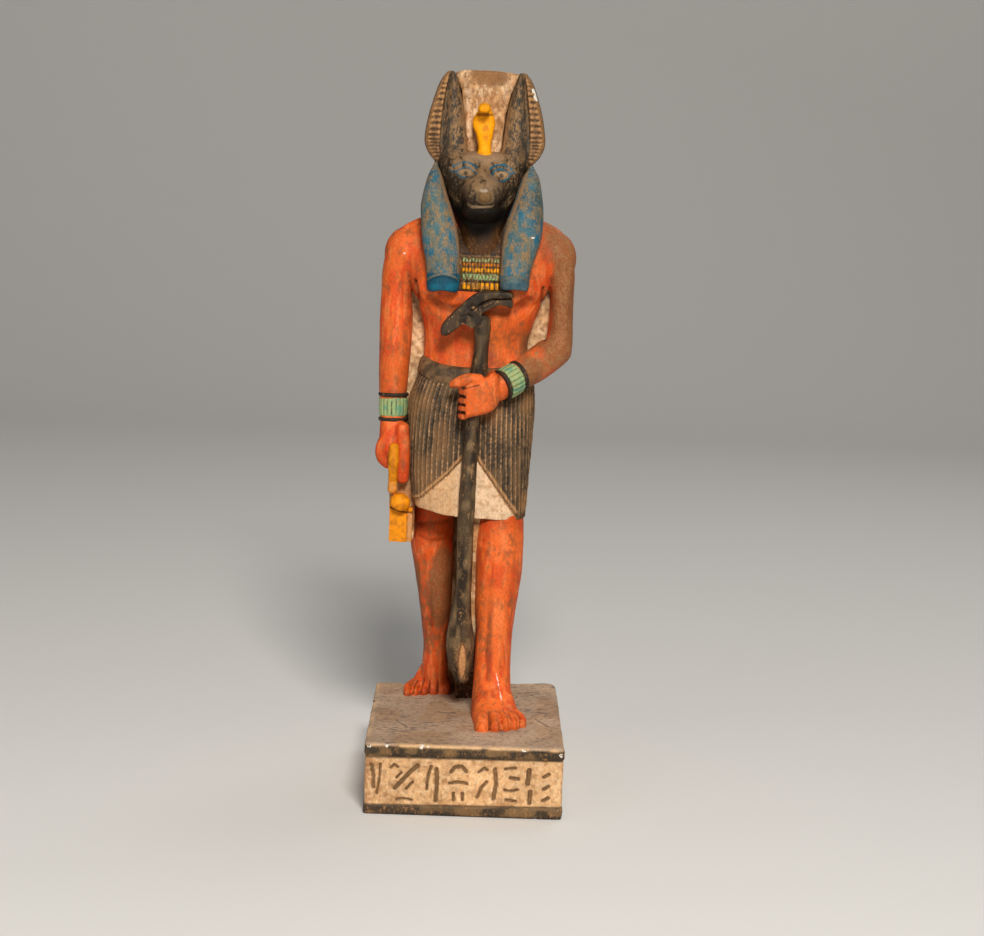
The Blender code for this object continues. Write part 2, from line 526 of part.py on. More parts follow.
def plinth(material):
    """The block that the figure stands on, grooved below the top band and above the foot band.

    Its top is not quite level: it rises towards the back corner at the viewer's right.
    """
    half_x, half_y = PLINTH_WIDTH / 2, PLINTH_DEPTH / 2
    panel_low, panel_high = FOOT_BAND, PLINTH_HEIGHT - TOP_BAND
    groove = BAND_GROOVE_WIDTH
    # Height, inset, and how far each level follows the slant of the foot band and the rise of the top
    levels = ((0.0, EDGE_CHAMFER / 2, 0.0, 0.0), (EDGE_CHAMFER / 2, 0.0, 0.0, 0.0), (panel_low - groove, 0.0, 1.0, 0.0),
              (panel_low - groove / 2, BAND_GROOVE_DEPTH, 1.0, 0.0), (panel_low, PANEL_INSET, 1.0, 0.0),
              (panel_high, PANEL_INSET, 0.0, 0.7), (panel_high + groove / 2, BAND_GROOVE_DEPTH, 0.0, 0.7),
              (panel_high + groove, 0.0, 0.0, 0.7), (PLINTH_HEIGHT - EDGE_CHAMFER, 0.0, 0.0, 1.0),
              (PLINTH_HEIGHT, EDGE_CHAMFER, 0.0, 1.0))
    corners = ((half_x - BACK_TAPER, half_y, 0, WORN_CORNER_RADIUS, TOP_RISE_BACK_RIGHT),
               (-half_x, half_y, 90, CORNER_RADIUS, 0.0),
               (-half_x, -half_y, 180, CORNER_RADIUS, 0.0),
               (half_x, -half_y, 270, CORNER_RADIUS, TOP_RISE_FRONT_RIGHT))
    points = []
    for z, inset, slant, rise in levels:
        for x, y, start, radius, corner_rise in corners:
            centre_x, centre_y = x - math.copysign(radius, x), y - math.copysign(radius, y)
            level = z + slant * math.copysign(FOOT_BAND_SLANT, x) + rise * corner_rise
            for step in range(4):
                angle = math.radians(start + 30 * step)
                reach = radius - inset
                points.append((centre_x + reach * math.cos(angle), centre_y + reach * math.sin(angle), level))
    sides = 4 * len(corners)
    crest = len(points)
    points.append((0.0, 0.0, PLINTH_HEIGHT + TOP_RISE_BACK_RIGHT / 10))
    faces = [tuple(range(sides))[::-1]]
    for r in range(len(levels)):
        for s in range(sides):
            t = (s + 1) % sides
            if r + 1 < len(levels):
                faces.append((r * sides + s, r * sides + t, (r + 1) * sides + t, (r + 1) * sides + s))
            else:
                faces.append((r * sides + s, r * sides + t, crest))
    obj = mesh_object("statuette", points, faces, bpy.context.scene.collection, helper=False)
    obj.data.materials.append(material)
    return obj


def mark_strokes(kind):
    """The strokes (x0, z0, x1, z1) of one made-up mark, as shares of its width and height."""
    return (
        [(-0.30, 0.05, -0.30, 0.95), (0.20, 0.40, 0.20, 0.95)],
        [(-0.40, 0.80, 0.40, 0.80), (-0.40, 0.50, 0.40, 0.50), (-0.20, 0.20, 0.20, 0.20)],
        [(-0.35, 0.10, 0.05, 0.90), (0.10, 0.10, 0.35, 0.62)],
        [(0.0, 0.45, 0.0, 0.95), (-0.35, 0.22, 0.35, 0.22)],
    )[kind]


def inscription(cutters):
    """A row of shallow strokes on the front panel."""
    panel_low, panel_high = FOOT_BAND + FOOT_BAND_SLANT, PLINTH_HEIGHT - TOP_BAND
    margin = (panel_high - panel_low) * 0.12
    height = panel_high - panel_low - 2 * margin
    pitch = (PLINTH_WIDTH - 4 * CORNER_RADIUS) / STROKE_MARKS
    face = -PLINTH_DEPTH / 2 + PANEL_INSET
    for mark in range(STROKE_MARKS):
        middle = pitch * (mark - (STROKE_MARKS - 1) / 2)
        for x0, z0, x1, z1 in mark_strokes(mark % 4):
            start = np.array((middle + x0 * pitch, panel_low + margin + z0 * height))
            end = np.array((middle + x1 * pitch, panel_low + margin + z1 * height))
            along = (end - start) / np.linalg.norm(end - start)
            beside = np.array((-along[1], along[0])) * STROKE_WIDTH / 2
            outline = [start + beside, start - beside, end - beside, end + beside]
            points = [(x, face + STROKE_DEPTH, z) for x, z in outline]
            points += [(x, face - STROKE_DEPTH, z) for x, z in outline]
            faces = [(0, 1, 2, 3), (7, 6, 5, 4), (0, 4, 5, 1), (1, 5, 6, 2), (2, 6, 7, 3), (3, 7, 4, 0)]
            mesh_object("stroke", points, faces, cutters)


def boolean(obj, name, operation, collection):
    modifier = obj.modifiers.new(name, "BOOLEAN")
    modifier.operation = operation
    modifier.operand_type = "COLLECTION"
    modifier.collection = collection


def main():
    clear_scene()
    forms = new_collection("forms")
    apron_cutters = new_collection("apron_cutters")
    cutters = new_collection("cutters")
    pillar(forms)
    torso(forms)
    right_arm(forms)
    ankh(forms)
    left_arm(forms)
    kilt(forms, apron_cutters)
    rear_leg(forms)
    front_leg(forms)
    staff(forms, cutters)
    head(forms, cutters)
    ears(forms)
    uraeus(forms)
    wig(forms)
    collar(forms)
    inscription(cutters)
    statuette = plinth(painted_stone())
    boolean(statuette, "figure", "UNION", forms)
    boolean(statuette, "carving", "DIFFERENCE", cutters)
    trim = statuette.modifiers.new("trim", "DECIMATE")
    trim.decimate_type = "COLLAPSE"
    trim.ratio = TRIM_RATIO


main()
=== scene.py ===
"""Looks of the painted limestone statuette.

Every form is drawn in shares of the figure's canon, 405 shares from the soles to the top of the crown, as in the
solid: x to the viewer's right, y to the back, z up from the soles. The plinth lies below zero. Forms that touch are
melted into one closed skin, which is then smoothed, carved and given its paint as values on its points.
"""

import math

import bpy
import numpy as np
from mathutils import Matrix, Vector
from mathutils.bvhtree import BVHTree


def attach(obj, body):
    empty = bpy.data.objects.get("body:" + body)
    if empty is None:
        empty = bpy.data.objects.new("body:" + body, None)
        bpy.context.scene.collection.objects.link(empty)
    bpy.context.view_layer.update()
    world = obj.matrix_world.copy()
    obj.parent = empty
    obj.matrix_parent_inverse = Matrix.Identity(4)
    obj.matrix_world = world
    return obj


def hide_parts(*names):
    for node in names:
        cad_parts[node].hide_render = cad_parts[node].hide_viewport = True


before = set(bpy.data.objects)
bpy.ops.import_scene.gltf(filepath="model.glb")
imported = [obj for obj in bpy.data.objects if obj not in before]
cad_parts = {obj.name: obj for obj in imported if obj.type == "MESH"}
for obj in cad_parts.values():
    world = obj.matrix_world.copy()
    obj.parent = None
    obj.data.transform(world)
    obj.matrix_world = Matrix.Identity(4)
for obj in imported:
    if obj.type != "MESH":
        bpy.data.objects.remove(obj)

# Sizes that the solid has, in metres
PLINTH_WIDTH = 0.121
PLINTH_DEPTH = 0.160
PLINTH_HEIGHT = 0.044
FIGURE_HEIGHT = 0.405
CANON = 405.0
PILLAR_BACK = 78.0
PILLAR_FRONT = 64.0
PILLAR_SETBACK = 0.002
SHARE = FIGURE_HEIGHT / CANON
FIGURE_Y = PLINTH_DEPTH / 2 - PILLAR_SETBACK - PILLAR_BACK * SHARE
SOLE = -3.0

# The camera that took the photograph
CAMERA_PLACE = (-0.00052, -1.49702, 0.42128)
CAMERA_PITCH = 0.14495
CAMERA_YAW = 0.00765
CAMERA_ROLL = -0.03634
FOCAL_PIXELS = 2414.34
IMAGE_WIDTH = 984
SENSOR = 36.0

# Area lights: name, place, size, power, colour
LIGHTS = (("key", (0.25, -1.9, 1.65), 0.6, 57.0, (1.0, 0.96, 0.90)),
          ("fill", (-1.5, -1.6, 0.9), 1.4, 5.0, (1.0, 0.96, 0.92)),
          ("rim", (0.6, 1.0, 1.6), 0.9, 5.0, (1.0, 1.0, 1.0)))
LIT_POINT = (0, 0, 0.24)
FLOOR_COLOUR = (0.78, 0.77, 0.75, 1)
FLOOR_ROUGHNESS = 0.9
FLOOR_SHEEN = 0.2
SKY = 0.09

# The most triangles that each piece may have
LIMITS = {"plinth": 120000, "back_pillar": 70000, "body": 190000, "kilt": 175000, "head": 190000, "wig": 80000,
          "staff": 50000, "looped_sign": 25000, "uraeus": 16000, "collar": 40000,
          "right_wristband": 20000, "left_wristband": 20000}

# Repeats in the carving
PLEATS = 68
PLEAT_DEPTH = 1.1
PLEAT_STEPS = 12
EAR_RIBS = 22
RIB_STEPS = 8
BAND_BEADS = 19


def shade(red, green, blue):
    """A colour named by its look in daylight, 0 to 255, as the linear values that a shader takes."""
    values = np.array((red, green, blue)) / 255
    return np.where(values <= 0.04045, values / 12.92, ((values + 0.055) / 1.055) ** 2.4)


RED = shade(220, 88, 28)
# The red as painted where light falls on the body
RED_LIT = shade(242, 112, 46)
RED_DEEP = shade(178, 66, 28)
BROWN = shade(134, 90, 54)
TAN = shade(172, 126, 82)
BLUE = shade(36, 100, 122)
BLUE_GREY = shade(84, 108, 104)
BLUE_DEEP = shade(18, 76, 96)
BLUE_LINE = shade(26, 98, 122)
CHARCOAL = shade(56, 48, 40)
DARK_FACE = shade(46, 36, 25)
FACE_TAN = shade(146, 115, 82)
GREY_TAN = shade(164, 134, 104)
CREAM = shade(206, 150, 98)
CREAM_LIGHT = shade(240, 194, 142)
APRON_WHITE = shade(234, 198, 160)
YELLOW = shade(255, 166, 4)
YELLOW_DEEP = shade(190, 112, 18)
ORANGE = shade(230, 130, 14)
GREEN = shade(160, 182, 124)
TURQUOISE = shade(84, 160, 136)
PLINTH_GREY = shade(198, 168, 140)
PLINTH_DARK = shade(92, 80, 72)
BAND_DARK = shade(68, 56, 42)
PANEL = shade(232, 182, 130)
PANEL_BROWN = shade(158, 110, 66)
INK = shade(84, 60, 36)
# Bare chipped stone, also the colour of painted glints
CHIP_AND_GLINT = shade(232, 224, 210)


def mix(low, high, mask):
    """The colour low where mask is 0, high where it is 1."""
    mask = np.asarray(mask)[..., None]
    return low * (1 - mask) + high * mask


def ease(value, low, high):
    """0 below low, 1 above high, smooth between. low may be over high for a falling step."""
    t = np.clip((value - low) / (high - low), 0, 1)
    return t * t * (3 - 2 * t)


def grain(points, size, seed, stretch=(1, 1, 1)):
    """Smooth lattice noise from 0 to 1, whose bumps are about size shares wide."""
    q = np.asarray(points) / (size * np.array(stretch, float))
    cell = np.floor(q).astype(np.int64)
    part = q - cell
    part = part * part * (3 - 2 * part)
    total = np.zeros(len(q))
    for corner in range(8):
        offset = np.array((corner & 1, corner >> 1 & 1, corner >> 2 & 1))
        i = cell + offset
        mixed = i[:, 0] * 73856093 ^ i[:, 1] * 19349663 ^ i[:, 2] * 83492791 ^ seed * 97531
        mixed = (mixed * 1103515245 + 12345) & 0x7FFFFFFF
        mixed = (mixed ^ mixed >> 13) * 1274126177 & 0x7FFFFFFF
        weight = np.prod(np.where(offset, part, 1 - part), axis=1)
        total += weight * ((mixed & 0xFFFF) / 65535.0)
    return total


def spline(stations, count):
    """A smooth curve through every station, at count even steps."""
    stations = np.array(stations, float)
    last = len(stations) - 1
    steps = np.linspace(0, last, count)
    i = np.minimum(steps.astype(int), last - 1)
    t = (steps - i)[:, None]
    a, b, c, d = (stations[np.clip(k, 0, last)] for k in (i - 1, i, i + 1, i + 2))
    return 0.5 * (2 * b + (c - a) * t + (2 * a - 5 * b + 4 * c - d) * t**2 + (3 * b - a - 3 * c + d) * t**3)


def ring_count(stations, axes, spacing):
    length = np.linalg.norm(np.diff(np.array(stations, float)[:, axes], axis=0), axis=1).sum()
    return max(4, int(length / spacing) + 1)


def oval(half_u, half_v, sides, power=2.0):
    """(sides, 2) points of a superellipse, anticlockwise from +u."""
    angle = math.tau * np.arange(sides) / sides
    c, s = np.cos(angle), np.sin(angle)
    u = half_u * np.sign(c) * np.abs(c) ** (2 / power)
    v = half_v * np.sign(s) * np.abs(s) ** (2 / power)
    return np.stack((u, v), axis=1)


def level_ring(shape, centre, z):
    """A level ring of points from its (x, y) shape about a centre."""
    ring = np.empty((len(shape), 3))
    ring[:, :2] = shape + centre
    ring[:, 2] = z
    return ring


def skin(rings):
    """Points and triangles of a closed form over rings of equal length, ends closed by fans."""
    rings = np.asarray(rings, float)
    count, sides = rings.shape[:2]
    points = np.concatenate((rings.reshape(-1, 3), rings[0].mean(0)[None], rings[-1].mean(0)[None]))
    s = np.arange(sides)
    t = (s + 1) % sides
    faces = []
    for r in range(count - 1):
        low, high = r * sides, (r + 1) * sides
        faces.append(np.stack((low + s, low + t, high + t), axis=1))
        faces.append(np.stack((low + s, high + t, high + s), axis=1))
    first, last = count * sides, count * sides + 1
    faces.append(np.stack((t, s, np.full(sides, first)), axis=1))
    top = (count - 1) * sides
    faces.append(np.stack((top + s, top + t, np.full(sides, last)), axis=1))
    faces = np.concatenate(faces)
    a, b, c = (points[faces[:, k]] for k in range(3))
    if (a * np.cross(b, c)).sum() < 0:
        faces = faces[:, ::-1]
    return points, faces


def column(stations, sides=96, power=2.3, spacing=1.5):
    """A standing form. A station is (z, left, right, front, back)."""
    rows = spline(stations, ring_count(stations, [0], spacing))
    rings = []
    for z, left, right, front, back in rows:
        shape = oval((right - left) / 2, (back - front) / 2, sides, power)
        rings.append(level_ring(shape, ((left + right) / 2, (front + back) / 2), z))
    return skin(rings)


def tube(stations, across=(1, 0, 0), sides=48, power=2.0, spacing=1.2, domes=True, reach=0.85):
    """A limb. A station is (x, y, z, half width across, half width the other way)."""
    rows = spline(stations, ring_count(stations, [0, 1, 2], spacing))
    headings = np.gradient(rows[:, :3], axis=0)
    headings /= np.linalg.norm(headings, axis=1)[:, None]
    rings = []
    for row, heading in zip(rows, headings):
        side = np.array(across, float) - heading * np.dot(across, heading)
        side /= np.linalg.norm(side)
        other = np.cross(heading, side)
        outline = oval(row[3], row[4], sides, power)
        rings.append(row[:3] + outline[:, :1] * side + outline[:, 1:] * other)
    if domes:
        rings = (dome(rings[0], -headings[0], rows[0], reach) + rings
                 + dome(rings[-1], headings[-1], rows[-1], reach)[::-1])
    return skin(rings)


def dome(ring, outwards, row, reach):
    length = min(row[3], row[4]) * reach
    made = []
    for angle in np.radians((84, 72, 60, 48, 36, 24, 12)):
        made.append(row[:3] + (ring - row[:3]) * math.cos(angle) + outwards * length * math.sin(angle))
    return made


def ball(centre, radii, sides=32):
    rings = []
    for angle in np.linspace(0.06, math.pi - 0.06, sides // 2):
        shape = oval(radii[0] * math.sin(angle), radii[1] * math.sin(angle), sides)
        rings.append(level_ring(shape, centre[:2], centre[2] - radii[2] * math.cos(angle)))
    return skin(rings)


def block(low, high):
    corners = ((low[0], low[1]), (high[0], low[1]), (high[0], high[1]), (low[0], high[1]))
    return skin([[(x, y, z) for x, y in corners] for z in (low[2], high[2])])


def cutout(outline, front, back, shoulder=0.0, smooth=0, slant=0.0):
    """An (x, z) outline cut through from front to back, its front edge rounded by shoulder.

    Slant sets it aslant, further back to the viewer's right.
    """
    outline = np.array(outline, float)
    if smooth:
        loop = np.concatenate((outline[-2:], outline, outline[:3]))
        steps = len(loop) - 1
        fine = spline(loop, steps * smooth + 1)
        outline = fine[2 * smooth:2 * smooth + len(outline) * smooth]
    turned = np.roll(outline, 1, axis=0) - np.roll(outline, -1, axis=0)
    outwards = np.stack((turned[:, 1], -turned[:, 0]), axis=1)
    outwards /= np.linalg.norm(outwards, axis=1)[:, None]
    area = (outline[:, 0] * np.roll(outline[:, 1], -1) - outline[:, 1] * np.roll(outline[:, 0], -1)).sum()
    outwards *= -np.sign(area)
    layers = [(outline, back)]
    steps = (0, 25, 50, 70, 90) if shoulder else (0,)
    for angle in np.radians(steps):
        inset = shoulder * (1 - math.cos(angle))
        layers.append((outline - outwards * inset, front + shoulder * (1 - math.sin(angle))))
    return skin([[(x, y + slant * x, z) for x, z in points] for points, y in layers])


class Clay:
    """One closed skin in shares, as points and faces, with what carving and painting need."""

    def __init__(self, mesh):
        self.points = np.empty(len(mesh.vertices) * 3)
        mesh.vertices.foreach_get("co", self.points)
        self.points = self.points.reshape(-1, 3)
        corners = np.empty(len(mesh.loops), np.int64)
        mesh.loops.foreach_get("vertex_index", corners)
        self.width = len(corners) // len(mesh.polygons)
        self.faces = corners.reshape(-1, self.width)
        pairs = np.sort(np.concatenate([self.faces[:, [k, (k + 1) % self.width]] for k in range(self.width)]),
                        axis=1)
        keys = np.unique(pairs[:, 0] * len(self.points) + pairs[:, 1])
        self.ends = np.stack((keys // len(self.points), keys % len(self.points)))
        self.links = np.bincount(self.ends.ravel(), minlength=len(self.points)).astype(float)

    def around(self, values):
        """The mean of each point's neighbours."""
        a, b = self.ends
        count = len(self.points)
        if values.ndim == 1:
            return (np.bincount(a, values[b], count) + np.bincount(b, values[a], count)) / self.links
        return np.stack([self.around(values[:, k]) for k in range(values.shape[1])], axis=1)

    def blur(self, values, times):
        for _ in range(times):
            values = 0.5 * values + 0.5 * self.around(values)
        return values

    def relax(self, times, weight=1.0):
        """Evens the skin out where weight is over zero, with little shrinking."""
        weight = np.broadcast_to(weight, len(self.points))[:, None]
        for _ in range(times):
            pull = self.around(self.points) - self.points
            self.points = self.points + weight * pull * 0.6
            push = self.around(self.points) - self.points
            self.points = self.points - weight * push * 0.45

    def normals(self):
        corners = [self.points[self.faces[:, k]] for k in range(self.width)]
        across = np.cross(corners[2] - corners[0], corners[-1] - corners[1])
        total = np.zeros_like(self.points)
        for k in range(self.width):
            for axis in range(3):
                total[:, axis] += np.bincount(self.faces[:, k], across[:, axis], len(self.points))
        return total / np.maximum(np.linalg.norm(total, axis=1), 1e-9)[:, None]

    def push(self, amount):
        self.points = self.points + self.normals() * np.asarray(amount)[:, None]

    def bend(self, times):
        """How far each point stands out from its surroundings: over zero on ridges, under zero in grooves."""
        outwards = self.normals()
        value = -((self.around(self.points) - self.points) * outwards).sum(axis=1)
        return self.blur(value, times)

    def roughen(self, tiny=0.06, small=0.12, broad=0.25, weight=1.0):
        """The unevenness of hand-cut stone."""
        height = tiny * (grain(self.points, 1.1, 3) - 0.5) + small * (grain(self.points, 3.0, 5) - 0.5)
        height += broad * (grain(self.points, 11.0, 7) - 0.5)
        self.push(height * weight)

    def bite(self, centre, radius, depth, seed):
        """A chip knocked out of the surface."""
        away = np.linalg.norm(self.points - centre, axis=1)
        away = away + radius * 0.5 * (grain(self.points, radius * 0.6, seed) - 0.5)
        mask = ease(away, radius, radius * 0.7)
        self.push(-depth * mask)
        return mask


def joined(shapes):
    """The points and faces of several forms in one list each."""
    points, faces, start = [], [], 0
    for form_points, form_faces in shapes:
        points.append(form_points)
        faces.append(form_faces + start)
        start += len(form_points)
    return np.concatenate(points).tolist(), np.concatenate(faces).tolist()


def placed(name, data):
    """A new object in the scene."""
    obj = bpy.data.objects.new(name, data)
    bpy.context.scene.collection.objects.link(obj)
    return obj


def melt(shapes, voxel):
    """One closed skin round all the shapes."""
    points, faces = joined(shapes)
    mesh = bpy.data.meshes.new("melt")
    mesh.from_pydata(points, [], faces)
    obj = placed("melt", mesh)
    remesh = obj.modifiers.new("melt", "REMESH")
    remesh.mode = "VOXEL"
    remesh.voxel_size = voxel
    made = applied(obj)
    clay = Clay(made)
    bpy.data.meshes.remove(made)
    return clay


def applied(obj):
    """The mesh of an object with its modifiers applied. The object is removed."""
    made = bpy.data.meshes.new_from_object(obj.evaluated_get(bpy.context.evaluated_depsgraph_get()))
    used = obj.data
    bpy.data.objects.remove(obj)
    bpy.data.meshes.remove(used)
    return made


def distance(points, shapes, limit=12.0):
    """How far each point is from the nearest of the shapes' surfaces."""
    found = np.full(len(points), limit)
    for form_points, form_faces in shapes:
        low, high = form_points.min(0) - limit, form_points.max(0) + limit
        near = np.nonzero(((points > low) & (points < high)).all(axis=1))[0]
        tree = BVHTree.FromPolygons(form_points.tolist(), form_faces.tolist())
        for i in near:
            hit = tree.find_nearest(Vector(points[i]), limit)
            if hit[3] is not None and hit[3] < found[i]:
                found[i] = hit[3]
    return found


def line_distance(places, line):
    """How far each place is from a polyline."""
    line = np.asarray(line, float)
    found = np.full(len(places), 1e9)
    for start, end in zip(line[:-1], line[1:]):
        along = end - start
        t = np.clip(((places - start) @ along) / max(along @ along, 1e-9), 0, 1)
        found = np.minimum(found, np.linalg.norm(places - start - t[:, None] * along, axis=1))
    return found


def piece(name, clay, paint, under, wear, material, chip_and_glint=0.0, grime_and_shade=0.0):
    """Turns a skin into an object of the scene, with its paint values, fine enough but under the limit."""
    points = clay.points * SHARE + np.array((0.0, FIGURE_Y, PLINTH_HEIGHT))
    mesh = bpy.data.meshes.new(name)
    mesh.from_pydata(points.tolist(), [], clay.faces.tolist())
    count = len(points)
    for label, values in (("paint", paint), ("under", under)):
        layer = mesh.attributes.new(label, "FLOAT_COLOR", "POINT")
        full = np.ones((count, 4))
        full[:, :3] = values
        layer.data.foreach_set("color", full.ravel())
    # The grime values stand for dirt and painted shade, the chip values for bare chips and painted glints.
    for label, values in (("wear", wear), ("chip_and_glint", chip_and_glint), ("grime_and_shade", grime_and_shade)):
        layer = mesh.attributes.new(label, "FLOAT", "POINT")
        layer.data.foreach_set("value", np.broadcast_to(values, count).astype(np.float32))
    obj = placed(name, mesh)
    triangles = len(clay.faces) * (clay.width - 2)
    if triangles > LIMITS[name]:
        trim = obj.modifiers.new("trim", "DECIMATE")
        trim.ratio = LIMITS[name] / triangles
        mesh = applied(obj)
        mesh.name = name
        obj = placed(name, mesh)
    mesh.shade_smooth()
    mesh.materials.append(material)
    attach(obj, "root")
    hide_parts("statuette")


def node(tree, kind, inputs=None, **settings):
    made = tree.nodes.new(kind)
    for key, value in settings.items():
        setattr(made, key, value)
    for key, value in (inputs or {}).items():
        if isinstance(value, bpy.types.NodeSocket):
            tree.links.new(value, made.inputs[key])
        else:
            made.inputs[key].default_value = value
    return made


def maths(tree, operation, a, b=0.0, clamp=False):
    return node(tree, "ShaderNodeMath", {0: a, 1: b}, operation=operation, use_clamp=clamp).outputs[0]


def span(tree, value, low, high, to_low=0.0, to_high=1.0):
    made = node(tree, "ShaderNodeMapRange", {"Value": value, "From Min": low, "From Max": high,
                                             "To Min": to_low,
                                             "To Max": to_high}, interpolation_type="SMOOTHSTEP")
    return made.outputs["Result"]


def tint(tree, mask, low, high, blend="MIX"):
    made = node(tree, "ShaderNodeMix", data_type="RGBA", blend_type=blend)
    for key, value in ((0, mask), (6, low), (7, high)):
        if isinstance(value, bpy.types.NodeSocket):
            tree.links.new(value, made.inputs[key])
        elif key == 0:
            made.inputs[key].default_value = value
        else:
            made.inputs[key].default_value = (*value, 1.0)
    return made.outputs[2]


def painted_stone():
    """Old paint on limestone: patches rubbed through to what is under them, dirt and painted shade in the hollows,
    bare chips and painted glints.
    """
    material = bpy.data.materials.new("painted_limestone")
    material.use_nodes = True
    tree = material.node_tree
    shader = tree.nodes["Principled BSDF"]
    place = node(tree, "ShaderNodeTexCoord").outputs["Object"]
    streaked = node(tree, "ShaderNodeMapping", {"Vector": place, "Scale": (1.0, 1.0, 0.55)}).outputs[0]

    def noise(vector, scale, detail, rough=0.6):
        made = node(tree, "ShaderNodeTexNoise", {"Vector": vector, "Scale": scale, "Detail": detail,
                                                 "Roughness": rough})
        return made.outputs["Fac"]

    def value(label):
        return node(tree, "ShaderNodeAttribute", attribute_name=label).outputs["Fac"]

    def colour(label):
        return node(tree, "ShaderNodeAttribute", attribute_name=label).outputs["Color"]

    patches = noise(streaked, 330.0, 6.0, 0.62)
    flecks = noise(streaked, 1000.0, 5.0, 0.65)
    blotches = noise(place, 38.0, 3.0, 0.55)
    dust = noise(place, 2100.0, 3.0, 0.6)
    mixed = maths(tree, "ADD", maths(tree, "MULTIPLY", patches, 0.55), maths(tree, "MULTIPLY", flecks, 0.45))
    bar = maths(tree, "SUBTRACT", 0.5, maths(tree, "MULTIPLY", maths(tree, "SUBTRACT", value("wear"), 0.5),
                                             0.5))
    bare = span(tree, maths(tree, "SUBTRACT", mixed, bar), -0.075, 0.075, 0.0, 0.92)
    paint = tint(tree, bare, colour("paint"), colour("under"))
    deep = span(tree, blotches, 0.35, 0.68, 0.86, 1.08)
    fine = span(tree, flecks, 0.30, 0.72, 0.78, 1.18)
    speck = span(tree, dust, 0.30, 0.62, 0.86, 1.06)
    level = maths(tree, "MULTIPLY", maths(tree, "MULTIPLY", deep, fine), speck)
    grey = node(tree, "ShaderNodeCombineColor", {0: level, 1: level, 2: level}).outputs[0]
    paint = tint(tree, 1.0, paint, grey, "MULTIPLY")
    # Near-black where the grime values are high: dirt, and painted shade in hollows, creases and under things.
    dirt_and_shade = maths(tree, "MULTIPLY", value("grime_and_shade"), span(tree, flecks, 0.25, 0.60, 0.55, 1.0), True)
    paint = tint(tree, dirt_and_shade, paint, (0.010, 0.006, 0.003))
    # Whitish where the chip values are high: bare chipped stone, and painted glints along the plinth's top edge.
    chip_and_glint_mask = span(tree, maths(tree, "ADD", value("chip_and_glint"), maths(tree, "MULTIPLY", flecks, 0.5)), 0.66, 0.78)
    paint = tint(tree, chip_and_glint_mask, paint, CHIP_AND_GLINT)
    tree.links.new(paint, shader.inputs["Base Color"])
    gloss = span(tree, mixed, 0.35, 0.65, 0.50, 0.74)
    tree.links.new(gloss, shader.inputs["Roughness"])
    shader.inputs["Specular IOR Level"].default_value = 0.22
    height = maths(tree, "ADD", maths(tree, "MULTIPLY", flecks, 0.55), maths(tree, "MULTIPLY", dust, 0.30))
    height = maths(tree, "SUBTRACT", height, maths(tree, "MULTIPLY", bare, 0.16))
    bump = node(tree, "ShaderNodeBump", {"Height": height, "Strength": 0.55, "Distance": 0.0007})
    tree.links.new(bump.outputs[0], shader.inputs["Normal"])
    return material


# Forms


def stone_forms():
    foot = [(-29.5, SOLE), (27.5, SOLE), (21.0, 400.0), (18.0, 404.0), (-19.0, 404.6), (-22.0, 400.0)]
    crown = [(-21.0, 403.4), (-14.5, 405.2), (-2.0, 405.6), (8.0, 405.2), (20.6, 403.4), (15.3, 391.3),
             (12.0, 378.0),
             (9.5, 348.0), (-11.4, 348.0), (-13.6, 372.0), (-16.5, 392.0)]
    return [
        cutout(foot, PILLAR_FRONT, PILLAR_BACK),
        cutout(crown, 52.0, PILLAR_FRONT + 2, shoulder=1.2),
        block((-50.0, 51.0, 104.8), (-30.0, 63.0, 288.0)),
        block((-53.0, 34.0, 105.4), (-37.5, 66.0, 168.0)),
        cutout([(27.0, 222.0), (48.0, 222.0), (48.0, 286.0), (40.0, 286.0)], 51.0, 63.0),
        skin([[(-7.5, front, z), (8.0, front, z), (8.0, 66.0, z), (-7.5, 66.0, z)]
              for z, front in ((SOLE, 42.0), (10.0, 38.0), (24.0, 17.0), (40.0, 15.0), (134.0, 15.0))]),
    ]


def torso_forms():
    forms = [column([
        (204, -36, 35, 25, 67), (222, -35, 32.5, 27, 66), (235, -34.8, 31.4, 28, 66),
        (248, -36.6, 34.8, 25, 66), (262, -41.8, 40.4, 22, 66), (278, -48.5, 46.5, 22, 67),
        (292, -54, 52, 26, 66), (300, -55.5, 53.5, 31, 64),
        (306, -50.5, 49.5, 35, 61), (311.4, -40, 39, 38, 59), (316, -26, 25, 40, 58)], sides=160)]
    for side in (-1, 1):
        forms.append(ball((side * 21.5 - 1.5, 35.5, 269), (20, 14.5, 14.5), sides=64))
        forms.append(ball((side * 47.4 - 0.9, 46, 288.5), (13.8, 14, 16.8), sides=64))
    return forms


def right_arm_forms():
    forms = [
        tube([(-50.5, 46, 292, 10, 12.5), (-53.2, 46, 278, 9.8, 12.8), (-54, 46, 266, 9.6, 12.4),
              (-53.4, 46, 249, 10.6, 12.4), (-53.4, 45, 230, 10.4, 12), (-54, 44, 212, 9.6, 11),
              (-53.8, 43, 198, 8.8, 10), (-53.4, 42, 180, 8.2, 9.4)]),
        tube([(-53.4, 42, 183, 8, 9.2), (-53, 41, 174, 8.8, 11), (-52.4, 40, 166, 9.0, 13),
              (-50.8, 40, 158, 7.2, 11.5)],
             power=2.4),
        tube([(-46.8, 33, 178, 4.4, 5), (-45.8, 29.5, 166, 4.5, 4.4), (-45.6, 27.8, 154, 4.3, 4),
              (-45.6, 28, 145.5, 3.9, 3.4)], power=2.4)]
    for finger in range(4):
        back = 6.0 * finger
        forms.append(tube([(-56.4, 31 + back, 171, 4.2, 3.2), (-59.8, 30.6 + back, 165, 3.8, 3.3),
                           (-59.6, 30.6 + back, 158.6, 3.4, 3.2), (-55.6, 31 + back, 154.6, 3.2, 3.2)],
                           spacing=0.8))
    return forms


